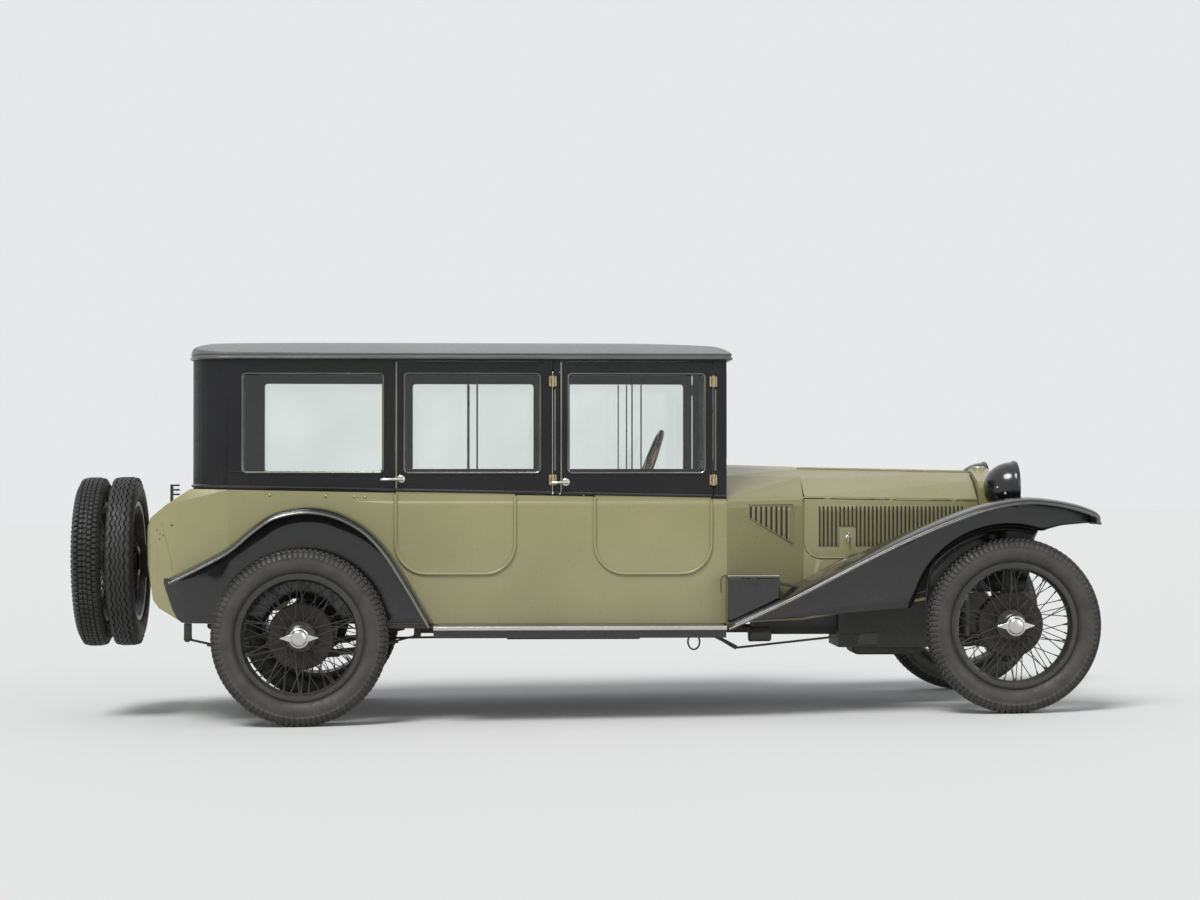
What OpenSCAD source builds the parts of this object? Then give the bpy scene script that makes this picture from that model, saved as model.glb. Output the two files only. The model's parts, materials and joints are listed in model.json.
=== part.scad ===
// Closed 1920s touring car with a black hard top, wire wheels and a butterfly bonnet.
// Millimetres. +X is forward, +Y is the car's left, +Z is up. The origin is on the ground,
// midway between the car's front and rear ends.

/* [Running gear] */
// Distance between the front and rear wheel centres
wheelbase = 3100; // [2900:10:3800]
// Distance between the front wheel centre planes
front_track = 1332; // [1300:2:1400]
// Distance between the rear wheel centre planes
rear_track = 1388; // [1370:2:1460]
// Outer diameter of a tyre
tyre_d = 765; // [740:5:800]
// Width of a tyre at its widest
tyre_w = 128; // [110:1:134]
// Outer diameter of the rim's edges
rim_d = 540; // [480:5:580]
// Width of a rim
rim_w = 100; // [80:1:104]
// Crossing pairs of spokes in each of a wheel's two rows
spoke_pairs = 8; // [6:1:12]
// Diameter of a spoke
spoke_d = 5; // [4:0.5:6]
// Diameter of a brake drum
drum_d = 290; // [240:5:320]
// Distance of each kingpin from the centre line
kingpin_y = 520; // [515:1:525]
// Nose-down lean of the body on its springs, in degrees
rake = 0.8; // [0:0.1:1.2]

/* [Body] */
// Width of the lower body at the doors
body_w = 1216; // [1210:2:1226]
// Width of the hard top at the doors
cabin_w = 1200; // [1180:2:1210]
// Thickness of walls and doors
wall_t = 34; // [28:1:38]
// Height of the roof's lower edge
roof_z = 1585; // [1560:5:1700]
// Rise of the roof's crown above its lower edge
roof_rise = 97; // [70:1:110]
// Height of the lower edges of the side windows
window_z = 1098; // [1080:1:1120]
// Height of the upper edges of the side windows
window_top_z = 1517; // [1480:1:1530]
// Height of the bottom of the body and of the running boards
sill_z = 435; // [430:1:440]
// Height of the bottom edges of the lower doors
door_z = 651; // [640:1:680]
// Radius of the lower corners of the doors
door_r = 130; // [90:5:140]
// Gap around doors and lids
gap = 6; // [5:0.5:7]

/* [Bonnet] */
// Width of the bonnet at its rear end
bonnet_rear_w = 690; // [660:2:720]
// Width of the bonnet at its front end
bonnet_front_w = 490; // [470:2:510]
// Thickness of the bonnet's panels
bonnet_t = 8; // [6:1:10]

/* [Wings and boards] */
// Distance of the wings' outer edges from the centre line
wing_y = 806; // [790:1:830]
// Thickness of the wings
wing_t = 8; // [6:1:10]
// Thickness of the running boards
board_t = 22; // [18:1:26]

/* [Hidden] */

fine = 96;
round_fn = 48;
big = 4000;
eps = 1;
seat_gap = 0.3;
run_gap = 0.05;

khaki = [0.60, 0.58, 0.40];
black = [0.03, 0.03, 0.035];
roof_grey = [0.42, 0.45, 0.48];
nickel = [0.75, 0.75, 0.73];
iron = [0.10, 0.10, 0.10];
glass_tint = [0.70, 0.80, 0.85, 0.35];

right = -1;
left = 1;

// ---- frames -------------------------------------------------------------------------------
tyre_r = tyre_d / 2;
spare_x = [-965, -820];
rear_end = spare_x[0] - tyre_w / 2;
front_end = wheelbase + tyre_r;
rear_axle_x = -(front_end + rear_end) / 2;

// Chassis frame: x from the rear axle, z from the ground.
module on_ground() {
    translate([rear_axle_x, 0, 0]) children();
}
// Body frame: x from the rear axle, turned nose-down about the rear axle by the rake.
module on_body() {
    translate([rear_axle_x, 0, tyre_r]) rotate([0, rake, 0]) translate([0, 0, -tyre_r]) children();
}
module side(s) {
    if (s == right) mirror([0, 1, 0]) children();
    else children();
}
module both() {
    children();
    mirror([0, 1, 0]) children();
}
// A profile in X and Z, drawn out along Y from y0 to y1.
module along_y(y0, y1) {
    translate([0, y1, 0]) rotate([90, 0, 0]) linear_extrude(y1 - y0) children();
}
// A section in Y and Z, drawn out along X from x0 to x1.
module along_x(x0, x1) {
    translate([x0, 0, 0]) rotate([90, 0, 90]) linear_extrude(x1 - x0) children();
}
module rod(p, q, d, sides = 16) {
    v = q - p;
    translate(p) rotate([0, acos(v.z / norm(v)), atan2(v.y, v.x)]) cylinder(h = norm(v), d = d, $fn = sides);
}
module block(a, b) {
    translate(a) cube(b - a);
}
function polar(r, a, z) = [r * cos(a), r * sin(a), z];
function between(a, b, t) = a + (b - a) * t;
function arc(c, r, a0, a1, n = 8) = [for (i = [0:n]) let (a = between(a0, a1, i / n)) c + r * [cos(a), sin(a)]];
function ramp(x, x0, y0, x1, y1) = between(y0, y1, (x - x0) / (x1 - x0));
// The points of a path, moved sideways by d.
function shifted(p, d) = [for (i = [0:len(p) - 1])
    let (a = p[max(i - 1, 0)], b = p[min(i + 1, len(p) - 1)], t = (b - a) / norm(b - a)) p[i] + d * [t.y, -t.x]];
function reversed(p) = [for (i = [len(p) - 1:-1:0]) p[i]];
// A smooth curve through the given points, n steps to a stretch.
function smooth(p, n = 5) = concat([for (i = [0:len(p) - 2], k = [0:n - 1])
    let (t = k / n, a = p[max(i - 1, 0)], b = p[i], c = p[i + 1], d = p[min(i + 2, len(p) - 1)])
    0.5 * (2 * b + (c - a) * t + (2 * a - 5 * b + 4 * c - d) * t * t + (3 * b - a - 3 * c + d) * t * t * t)],
    [p[len(p) - 1]]);

// ---- lower body ---------------------------------------------------------------------------
screen_x = 1851;
cabin_back = -487;
tail_back = -684;
body_y = body_w / 2;
cabin_y = cabin_w / 2;
waist_z = 1011;
waist_drop = 0.0188;
function waist(x) = waist_z - waist_drop * x;

// Plans of the hard top and of the lower body, inset by i. Both narrow towards the back.
cabin_corner = 170;
taper_x = 400;
cabin_taper = 22;
tail_taper = 110;
tail_corner = 60;
module cabin_plan(i) {
    y = cabin_y - i;
    r = cabin_corner - i;
    pts = concat([[screen_x - i, y], [taper_x, y]],
                 arc([cabin_back + cabin_corner, y - cabin_taper - r], r, 90, 180, 10));
    polygon(concat(pts, [for (p = reversed(pts)) [p.x, -p.y]]));
}
module tub_plan(i) {
    y = body_y - i;
    r = tail_corner - i;
    pts = concat([[screen_x, y], [taper_x, y], [cabin_back + cabin_corner, y - cabin_taper]],
                 arc([tail_back + tail_corner, y - tail_taper - r], r, 90, 180, 6));
    polygon(concat(pts, [for (p = reversed(pts)) [p.x, -p.y]]));
}
// Side view of the lower body, inset by i at the tail. The inside runs on through top and bottom.
tail = [[cabin_back, waist(cabin_back)], [-597, 950], [-666, 893], [tail_back, 841], [-679, 688], [-653, 535],
        [-627, 500], [-523, sill_z + 4], [-500, sill_z]];
module tub_profile(i) {
    front = i > 0 ? screen_x + eps : screen_x;
    above = [[front, 0], [front, big / 2], [cabin_back + i, big / 2]];
    if (i == 0) polygon(concat([[front, sill_z], [front, waist(front)]], tail));
    else polygon(concat(above, shifted(tail, -i), [[-500 + i, 0]]));
}
// The lower body's sides turn in a little under the hard top.
shoulder_z = 950;
shoulder_r = 30;
module tub_section(i) {
    y = body_y - i;
    half = concat([[y, -big / 4], [y, shoulder_z]], arc([y - shoulder_r, shoulder_z], shoulder_r, 10, 35, 4),
                  [[y - 10, waist_z + 150]]);
    polygon(concat(half, [for (p = reversed(half)) [-p.x, p.y]]));
}
module tub_shape(i) {
    intersection() {
        along_y(-big / 2, big / 2) tub_profile(i);
        linear_extrude(big / 2) tub_plan(i);
        along_x(-big / 4, screen_x) tub_section(i);
    }
}
// The room inside: behind the seats it narrows to the hard top's plan, which leaves a shelf at each corner.
shelf_z = waist_z - 26;
module tub_room() {
    intersection() {
        tub_shape(wall_t);
        union() {
            block([-big, -big, 0], [0, big, shelf_z]);
            block([-eps, -big, 0], [big, big, big]);
            linear_extrude(big / 2) cabin_plan(wall_t);
        }
    }
}
module tub_wall() {
    difference() {
        tub_shape(0);
        tub_room();
    }
}

// ---- doors --------------------------------------------------------------------------------
// Each door: [rear edge below, front edge below, rear edge above, front edge above, window rear, window front]
front_door = [1274, 1784, 1126, 1790, 1165, 1750];
rear_door = [408, 927, 409, 1088, 452, 1030];
hinge_out = 8;
hinge_forward = 3;
hinge_r = 7;
hinge_pin_r = 3;
hinge_half = 24;
hinge_mid = 8.5;
hinge_z = [1060, 1490];
function door_axis_x(door) = door[3] + hinge_forward;
door_axis_y = cabin_y + hinge_out;

// Outline of a lower door, grown by g.
module door_outline(door, g) {
    x0 = door[0] - g;
    x1 = door[1] + g;
    z = door_z - g;
    r = door_r + g;
    polygon(concat(arc([x0 + r, z + r], r, 180, 270), arc([x1 - r, z + r], r, 270, 360),
                   [[x1, waist(x1) + gap], [x0, waist(x0) + gap]]));
}
// Outline of an upper door frame, grown by g.
frame_top = roof_z - 12;
module frame_outline(door, g) {
    x0 = door[2] - g;
    x1 = door[3] + g;
    low = gap - g;
    top = frame_top + g;
    polygon([[x0, waist(door[2]) + low], [x1, waist(door[3]) + low], [x1, top], [x0, top]]);
}
// A rectangle [x0, x1, y0, y1] with corners of radius r.
module rounded(w, r) {
    polygon(concat(arc([w[0] + r, w[2] + r], r, 180, 270, 4), arc([w[1] - r, w[2] + r], r, 270, 360, 4),
                   arc([w[1] - r, w[3] - r], r, 0, 90, 4), arc([w[0] + r, w[3] - r], r, 90, 180, 4)));
}
window_r = 14;
module window_outline(x0, x1, g) {
    rounded([x0 - g, x1 + g, window_z - g, window_top_z + g], window_r + g);
}
// A hinge about its own Z: the fixed half lies at +X, the moving half at -X, on a face at Y = -hinge_out.
module hinge_leaf(x0, x1, z0, z1) {
    block([x0, -hinge_out - eps, z0], [x1, -hinge_out + 3, z1]);
}
module hinge_fixed() {
    h = hinge_half - hinge_mid - 0.5;
    for (z = [-hinge_half, hinge_half - h]) {
        translate([0, 0, z]) cylinder(h = h, r = hinge_r, $fn = round_fn);
        block([0, -hinge_out - eps, z], [9, -hinge_out + 6, z + h]);
    }
    hinge_leaf(8, 24, -hinge_half, hinge_half);
    translate([0, 0, -hinge_half - 3]) cylinder(h = 2 * hinge_half + 6, r = hinge_pin_r, $fn = round_fn);
}
module hinge_moving() {
    difference() {
        union() {
            translate([0, 0, -hinge_mid]) cylinder(h = 2 * hinge_mid, r = hinge_r, $fn = round_fn);
            block([-9, -hinge_out + eps, -hinge_mid], [0, -hinge_out + 6, hinge_mid]);
            hinge_leaf(-24, -8, -hinge_half, hinge_half);
        }
        translate([0, 0, -hinge_half]) cylinder(h = 2 * hinge_half, r = hinge_pin_r + run_gap, $fn = round_fn);
    }
}
module at_door_hinges(door) {
    for (z = hinge_z) translate([door_axis_x(door), door_axis_y, z]) children();
}
// The wall of the lower body's sides, carried up past the waist for the doors' upper edges.
module side_shape(i) {
    intersection() {
        linear_extrude(big / 2) tub_plan(i);
        along_x(-big / 4, screen_x) tub_section(i);
    }
}
module door_panel(door, s) {
    color(khaki) on_body() side(s) intersection() {
        difference() {
            side_shape(0);
            side_shape(wall_t);
        }
        along_y(0, big / 2) door_outline(door, 0);
    }
}
module door_frame(door, s) {
    color(black) on_body() side(s) {
        difference() {
            intersection() {
                cabin_wall();
                along_y(0, big / 2) frame_outline(door, 0);
            }
            along_y(0, big / 2) window_outline(door[4], door[5], 0);
        }
        at_door_hinges(door) hinge_moving();
    }
}
glass_t = 5;
module pane(x0, x1, y) {
    along_y(y - glass_t / 2, y + glass_t / 2) window_outline(x0, x1, -seat_gap);
}
glass_y = cabin_y - wall_t / 2;
module door_glass(door, s) {
    color(glass_tint) on_body() side(s) pane(door[4], door[5], glass_y);
}
module body_tub() {
    color(khaki) on_body() {
        difference() {
            tub_wall();
            both() {
                along_y(0, big / 2) door_outline(front_door, gap);
                along_y(0, big / 2) door_outline(rear_door, gap);
            }
            along_y(-big / 2, big / 2) boot_outline(gap);
            translate([0, big / 2, tyre_r]) rotate([90, 0, 0]) cylinder(h = big, d = drum_d + 40, $fn = fine);
        }
        boot_jambs();
        at_boot_hinges() hinge_fixed();
    }
}

// ---- boot lid -----------------------------------------------------------------------------
boot_y = 360;
boot_len = 166;
boot_start = 10;
boot_down = 28;
deck_dir = (tail[0] - tail[1]) / norm(tail[0] - tail[1]);
deck_angle = atan2(deck_dir.y, deck_dir.x);
boot_axis = tail[0] - boot_down * deck_dir + hinge_out * [-deck_dir.y, deck_dir.x];
// The lid's slot in side view, square to the sloping deck, grown by g.
module boot_outline(g) {
    translate(boot_axis) rotate(180 + deck_angle)
        polygon([[boot_start - g, -60], [boot_len + g, -60], [boot_len + g, 60], [boot_start - g, 60]]);
}
module boot_jambs() {
    both() intersection() {
        tub_wall();
        along_y(boot_y + gap, big / 2) boot_outline(gap + eps);
    }
}
// Places a hinge with its axis along Y, its face on the deck and its fixed half up the slope.
module at_boot_hinges() {
    for (y = [-220, 220])
        translate([boot_axis.x, y, boot_axis.y]) rotate([0, -deck_angle, 0]) rotate([90, 0, 0]) children();
}
module boot_lid() {
    color(khaki) on_body() {
        intersection() {
            tub_wall();
            along_y(-boot_y, boot_y) boot_outline(0);
        }
        at_boot_hinges() hinge_moving();
    }
}

// ---- hard top and roof --------------------------------------------------------------------
module cabin_wall() {
    x0 = cabin_back - 50;
    x1 = screen_x + 50;
    intersection() {
        linear_extrude(big / 2) difference() {
            cabin_plan(0);
            cabin_plan(wall_t);
        }
        along_y(-big / 2, big / 2) polygon([[x0, waist(x0) + seat_gap], [x1, waist(x1) + seat_gap],
                                            [x1, roof_z - seat_gap], [x0, roof_z - seat_gap]]);
    }
}
quarter = [-252, 348];
rear_window = [-250, 250, 1180, 1460];
screen_window = [-530, 530, 1150, 1545];
module end_window(w, g) {
    rounded([w[0] - g, w[1] + g, w[2] - g, w[3] + g], 30 + g);
}
module hard_top() {
    color(black) on_body() {
        difference() {
            cabin_wall();
            both() {
                along_y(0, big / 2) frame_outline(front_door, gap);
                along_y(0, big / 2) frame_outline(rear_door, gap);
                along_y(cabin_y - 3 * wall_t, big / 2) window_outline(quarter[0], quarter[1], 0);
            }
            along_x(cabin_back - 50, cabin_back + 100) end_window(rear_window, 0);
            along_x(screen_x - 100, screen_x + 50) end_window(screen_window, 0);
            column(column_r + 3);
        }
        both() {
            at_door_hinges(front_door) hinge_fixed();
            at_door_hinges(rear_door) hinge_fixed();
        }
    }
}
// The quarter panes follow the slight taper of the cabin's side.
module fixed_glass() {
    half = glass_t / 2;
    back = [cabin_back + cabin_corner, -cabin_taper];
    color(glass_tint) on_body() {
        both() intersection() {
            along_y(0, big / 2) window_outline(quarter[0], quarter[1], -seat_gap);
            linear_extrude(big / 2) translate([0, glass_y])
                polygon([[taper_x, half], [taper_x, -half], back - [0, half], back + [0, half]]);
        }
        translate([cabin_back + wall_t / 2, 0, 0]) along_x(-half, half) end_window(rear_window, -seat_gap);
        translate([screen_x - wall_t / 2, 0, 0]) along_x(-half, half) end_window(screen_window, -seat_gap);
    }
}
roof_lip = 26;
roof_over = 8;
roof_peak = 24;
roof_t = 28;
module roof_section(i) {
    w = cabin_y + roof_over;
    rise = roof_rise - roof_lip;
    r = (w * w + rise * rise) / (2 * rise);
    top = roof_z + roof_rise - i;
    a = asin((w - i) / r);
    pts = concat([[w - i, roof_z - eps]], arc([0, top - r], r, 90 - a, 90 + a, 24), [[-w + i, roof_z - eps]]);
    polygon(pts);
}
module roof_profile(i) {
    x0 = cabin_back - roof_over + i;
    x1 = screen_x + roof_peak - i;
    top = roof_rise - i;
    pts = smooth([[x0, roof_lip], [x0 + 12, top - 53], [x0 + 50, top - 27], [x0 + 150, top - 13], [x0 + 600, top - 4],
                  [700, top], [1400, top - 6], [x1 - 150, top - 21], [x1 - 45, top - 35], [x1, roof_lip]], 4);
    translate([0, roof_z]) polygon(concat([[x0, -eps]], pts, [[x1, -eps]]));
}
module roof_plan(i) {
    y = cabin_y + roof_over - i;
    r = cabin_corner + roof_over - i;
    pts = concat(arc([screen_x + roof_peak - i - 40, y - 40], 40, 0, 90, 5), [[taper_x, y]],
                 arc([cabin_back - roof_over + i + r, y - cabin_taper - r], r, 90, 180, 10));
    polygon(concat(pts, [for (p = reversed(pts)) [p.x, -p.y]]));
}
module roof_shape(i) {
    intersection() {
        along_x(-big / 4, big / 2) roof_section(i);
        along_y(-big / 4, big / 4) roof_profile(i);
        linear_extrude(big / 2) roof_plan(i);
    }
}
module roof() {
    color(roof_grey) on_body() difference() {
        roof_shape(0);
        roof_shape(roof_t);
        block([-big, -big, -big], [big, big, roof_z]);
    }
}

// ---- floor, seats and dashboard -----------------------------------------------------------
floor_t = 20;
kick_x = 300;
deck_z = 610;
board_wood = 15;
tunnel_y = 130;
tunnel_in = tunnel_y - board_wood;
tunnel_z = 600;
floor_z = sill_z - seat_gap;
module floor_pan() {
    color(iron) on_body() {
        difference() {
            union() {
                block([kick_x, -body_y, floor_z - floor_t], [screen_x, body_y, floor_z]);
                block([kick_x, -tunnel_y, floor_z - floor_t], [screen_x, tunnel_y, tunnel_z]);
            }
            block([kick_x - eps, -tunnel_in, 0], [screen_x + eps, tunnel_in, tunnel_z - board_wood]);
        }
        block([1070, -540, 366], [1390, -300, floor_z - floor_t + eps]);
        intersection() {
            tub_inner_fit();
            difference() {
                union() {
                    block([-big / 4, -big / 4, deck_z - floor_t], [kick_x, big / 4, deck_z]);
                    block([kick_x, -big / 4, floor_z - eps], [kick_x + board_wood, big / 4, deck_z]);
                }
                block([kick_x - eps, -tunnel_in, 0], [kick_x + board_wood + eps, tunnel_in, deck_z - floor_t]);
            }
        }
    }
}
module tub_inner_fit() {
    intersection() {
        along_y(-big / 2, big / 2) tub_profile(wall_t + seat_gap);
        linear_extrude(big / 2) tub_plan(wall_t + seat_gap);
    }
}
seat_y = 540;
rear_seat_y = 450;
front_seat_z = 640;
rear_seat_z = 690;
module seat_frames() {
    color(black) on_body() {
        block([795, -seat_y, tunnel_z + seat_gap], [1380, seat_y, front_seat_z]);
        both() block([830, tunnel_y + 60, floor_z + seat_gap], [1340, seat_y - 40, tunnel_z + eps]);
        block([-345, -rear_seat_y, deck_z + seat_gap], [220, rear_seat_y, rear_seat_z]);
    }
}
module soft_block(a, b, r) {
    along_y(a.y, b.y) rounded([a.x, b.x, a.z, b.z], r);
}
module seat_cushions() {
    color([0.25, 0.14, 0.07]) on_body() {
        soft_block([935, -seat_y, front_seat_z + seat_gap], [1390, seat_y, 770], 35);
        soft_block([800, -seat_y, front_seat_z + seat_gap], [925, seat_y, 1075], 40);
        soft_block([-200, -rear_seat_y, rear_seat_z + seat_gap], [230, rear_seat_y, 830], 35);
        soft_block([-340, -rear_seat_y, rear_seat_z + seat_gap], [-210, rear_seat_y, 1085], 40);
    }
}
dash_x = 1795;
module dashboard() {
    color([0.20, 0.10, 0.05]) on_body() difference() {
        intersection() {
            block([dash_x, -body_y, 830], [dash_x + 18, body_y, waist(dash_x) - 4]);
            side_shape(wall_t + seat_gap);
        }
        column(column_r + seat_gap);
    }
}

// ---- scuttle, chassis front and bonnet ----------------------------------------------------
bonnet_x0 = 2222;
radiator_x = wheelbase - 70;
bonnet_x1 = radiator_x - 8;
bonnet_z = 710;
function bonnet_y(x) = ramp(x, bonnet_x0, bonnet_rear_w / 2, bonnet_x1, bonnet_front_w / 2);
function crease_z(x) = ramp(x, bonnet_x0, 984, bonnet_x1, 971);
function ridge_z(x) = ramp(x, bonnet_x0, 1120, bonnet_x1, 1104);
ridge_r = 7;
ridge_pin_r = 4;
function ridge_point(x) = [x, 0, ridge_z(x) - 8];

// Half section of the scuttle: w is its half width, c the crease height, r the ridge height.
function scuttle_half(w, c, r, low) = [[w, low], [w, c - 40], [w - 6, c - 12], [w - 22, c + 6],
                                      [w * 0.62, between(c, r, 0.66)], [w * 0.3, between(c, r, 0.92)], [0, r]];
module scuttle_slice(x, w, c, r, low) {
    half = scuttle_half(w, c, r, low);
    along_x(x, x + eps) polygon(concat(half, [for (p = reversed(half)) [-p.x, p.y]]));
}
scuttle_end = bonnet_x0 - 3;
fire_t = 18;
module scuttle() {
    t = 20;
    room_x = scuttle_end - fire_t;
    y = bonnet_y(bonnet_x0);
    c = crease_z(bonnet_x0);
    r = ridge_z(bonnet_x0);
    color(khaki) on_body() {
        difference() {
            hull() {
                scuttle_slice(screen_x + seat_gap, body_y, waist(screen_x), 1130, sill_z);
                scuttle_slice(scuttle_end - eps, y, c, r, sill_z);
            }
            hull() {
                scuttle_slice(screen_x - eps, body_y - t, waist(screen_x) - t, 1130 - t, sill_z - 50);
                scuttle_slice(room_x, y - t, c - t, r - t, sill_z - 50);
            }
            along_x(screen_x, room_x - eps) square([2 * tunnel_y + 60, 2 * tunnel_z], center = true);
            along_x(room_x - 2 * eps, big) square([2 * 100, 2 * 560], center = true);
        }
        rod(ridge_point(room_x), ridge_point(radiator_x + 4), 2 * ridge_pin_r, round_fn);
    }
}

// Side view of a bonnet side panel, grown by g.
bonnet_r = 75;
module bonnet_side_outline(g) {
    x0 = bonnet_x0 + 3 - g;
    x1 = bonnet_x1 + g;
    z = bonnet_z - g;
    r = bonnet_r + g;
    polygon(concat(arc([x0 + r, z + r], r, 180, 270, 6),
                   [[x1, z], [x1, crease_z(x1) - crease_gap], [x0, crease_z(x0) - crease_gap]]));
}
crease_gap = 9;
// A strip in plan that follows the bonnet's taper, from out to out + t inside the bonnet's side.
module taper_strip(x0, x1, out, t) {
    linear_extrude(big / 2) polygon([[x0, bonnet_y(x0) - out], [x1, bonnet_y(x1) - out],
                                     [x1, bonnet_y(x1) - out - t], [x0, bonnet_y(x0) - out - t]]);
}
plate_t = 24;
// The guide under the radiator that takes the starting handle.
handle_r = 12;
guide_r = 20;
guide_z = 526;
guide_len = 60;
guide_x0 = bonnet_x1 - 60;
module chassis_front() {
    top = bonnet_z - gap;
    post_x = bonnet_x0 + 100;
    color(khaki) on_body() {
        both() {
            difference() {
                intersection() {
                    taper_strip(scuttle_end + seat_gap, radiator_x - seat_gap, 0, plate_t);
                    along_y(0, big / 2) polygon([[scuttle_end, sill_z], [bonnet_x1 + 40, 560], [bonnet_x1 + 40, top],
                                                 [post_x, top], [post_x, 900], [scuttle_end, 900]]);
                }
                along_y(0, big / 2) union() {
                    bonnet_side_outline(gap);
                    translate([bonnet_x0 - 3, bonnet_z + bonnet_r]) square([120, 300]);
                }
            }
        }
        difference() {
            beam_y = bonnet_y(bonnet_x1) - 20;
            union() {
                block([guide_x0, -beam_y, 560], [radiator_x - seat_gap, beam_y, 640]);
                block([guide_x0, -guide_r, guide_z], [guide_x0 + guide_len, guide_r, 561]);
                rod([guide_x0, 0, guide_z], [guide_x0 + guide_len, 0, guide_z], 2 * guide_r, round_fn);
            }
            rod([guide_x0 - eps, 0, guide_z], [guide_x0 + guide_len + eps, 0, guide_z], 2 * handle_r, fine);
        }
    }
}
// The panels' upper edges lie below the hinge's axis, so that they stay apart when both are up.
ridge_drop = 11;
module ridge_slice(x) {
    w = bonnet_y(x) - 12;
    c = crease_z(x) + 3;
    r = ridge_z(x) - ridge_drop;
    m = between(c, ridge_z(x), 0.56) + 5;
    along_x(x, x + eps) polygon([[10, r], [w * 0.5, m], [w, c], [w, c - bonnet_t], [10, r - bonnet_t]]);
}
// Barrels of the ridge hinge: the left half has the odd ones, the right half the even ones.
module ridge_barrels(s) {
    n = 8;
    step = (bonnet_x1 - bonnet_x0 - 20) / n;
    for (i = [0:n - 1]) if (i % 2 == (s == left ? 1 : 0)) {
        x0 = bonnet_x0 + 10 + i * step;
        x1 = x0 + step - 4;
        rod(ridge_point(x0), ridge_point(x1), 2 * ridge_r, round_fn);
        block([x0, 2, ridge_z(x0) - ridge_drop - 5], [x1, 12, ridge_z(x1) - ridge_drop + 1.5]);
    }
}
module bonnet_top(s) {
    color(khaki) on_body() side(s) difference() {
        union() {
            hull() {
                ridge_slice(bonnet_x0 + 3);
                ridge_slice(bonnet_x1 - eps);
            }
            if (s == left) ridge_barrels(left);
            else ridge_barrels(right);
            crease_pins();
        }
        rod(ridge_point(bonnet_x0 - 20), ridge_point(radiator_x), 2 * (ridge_pin_r + run_gap), round_fn);
    }
}
// Three hinges join the top and side panels along the crease.
crease_at = [bonnet_x0 + 108, (bonnet_x0 + bonnet_x1) / 2, bonnet_x1 - 112];
crease_half = 20;
function crease_point(x) = [x, bonnet_y(x) - 6, crease_z(x) - 3];
module crease_pins() {
    for (x = crease_at) {
        rod(crease_point(x - crease_half), crease_point(x + crease_half), 5, round_fn);
        for (d = [-crease_half, crease_half - 9]) {
            rod(crease_point(x + d), crease_point(x + d + 9), 10, round_fn);
            translate(crease_point(x + d)) block([0, -14, -1], [9, 0, 3]);
        }
    }
}
module bonnet_side(s) {
    color(khaki) on_body() side(s) difference() {
        union() {
            intersection() {
                taper_strip(bonnet_x0, bonnet_x1 + 5, 0, bonnet_t);
                along_y(0, big / 2) bonnet_side_outline(0);
            }
            for (x = crease_at) {
                rod(crease_point(x - 10), crease_point(x + 10), 10, round_fn);
                translate(crease_point(x)) block([-10, -1, -10], [10, 4.5, 0]);
            }
        }
        for (x = crease_at) rod(crease_point(x - 15), crease_point(x + 15), 5 + 2 * run_gap, round_fn);
    }
}

// ---- radiator, engine and lamps -----------------------------------------------------------
radiator_w = 470;
radiator_top = 1112;
radiator_t = 85;
module radiator_outline(i) {
    w = radiator_w / 2 - i;
    top = radiator_top - i;
    low = 560 + i;
    shoulder = arc([w - 60, top - 110], 60, 20, 60, 4);
    half = concat(arc([w - 50, low + 50], 50, 270, 360, 5), [[w, top - 130]], shoulder);
    polygon(concat(half, [[0, top]], [for (p = reversed(half)) [-p.x, p.y]]));
}
module radiator_shell() {
    color(khaki) on_body() {
        difference() {
            along_x(radiator_x, radiator_x + radiator_t) radiator_outline(0);
            along_x(radiator_x + 12, radiator_x + radiator_t + eps) radiator_outline(38);
            along_x(radiator_x - eps, radiator_x + 13) radiator_outline(60);
            rod(ridge_point(radiator_x - 10), ridge_point(radiator_x + 14), 2 * (ridge_pin_r + run_gap), round_fn);
        }
        translate([radiator_x + radiator_t / 2, 0, radiator_top - 20]) cylinder(h = 24, r = 30, $fn = round_fn);
    }
}
module radiator_core() {
    color(iron) on_body()
        along_x(radiator_x + 12 + seat_gap, radiator_x + radiator_t - 14) radiator_outline(38 + seat_gap);
}
lamp_x = wheelbase + 20;
lamp_y = 358;
lamp_z = 1023;
lamp_r = 120;
lamp_len = 142;
lamp_face = lamp_x + 50;
bar_d = 24;
bar_z = 952;
module headlamps() {
    color(black) on_body() both() {
        translate([lamp_face, lamp_y, lamp_z]) rotate([0, -90, 0]) difference() {
            rotate_extrude($fn = fine) intersection() {
                polygon(concat([[0, 0], [lamp_r, 0], [lamp_r, 12]],
                               [for (t = [0:6:90]) [(lamp_r - 3) * cos(t), 12 + (lamp_len - 12) * sin(t)]]));
                square([lamp_r, lamp_len]);
            }
            translate([0, 0, -eps]) cylinder(h = 14, r = lamp_r - 6, $fn = fine);
        }
        rod([lamp_x, radiator_w / 2 + seat_gap, bar_z], [lamp_x, 720, bar_z], bar_d, round_fn);
    }
}
module headlamp_lenses() {
    color(glass_tint) on_body() both()
        rod([lamp_face - 13, lamp_y, lamp_z], [lamp_face - 3, lamp_y, lamp_z], 2 * (lamp_r - 6 - seat_gap), fine);
}
module engine() {
    color(iron) on_body() {
        block([2400, -170, 300], [wheelbase - 230, 170, 940]);
        both() intersection() {
            block([2620, 169, 600], [2680, big / 4, 640]);
            taper_strip(bonnet_x0, bonnet_x1, plate_t + seat_gap, 200);
        }
        rod([2401, 0, 445], [2021, 0, 445], 190, round_fn);
        rod([2022, 0, 445], [182, 0, 445], 56, round_fn);
    }
}
module exhaust() {
    color(iron) on_body() {
        translate([900, 250, 364]) rotate([0, 90, 0]) cylinder(h = 620, r = 50, $fn = round_fn);
        translate([480, 250, 364]) rotate([0, 90, 0]) cylinder(h = 2000, r = 20, $fn = round_fn);
        translate([2480, 250, 364]) sphere(r = 23, $fn = round_fn);
        rod([2480, 250, 364], [2480, 170 + seat_gap, 364], 40, round_fn);
    }
}

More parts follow.
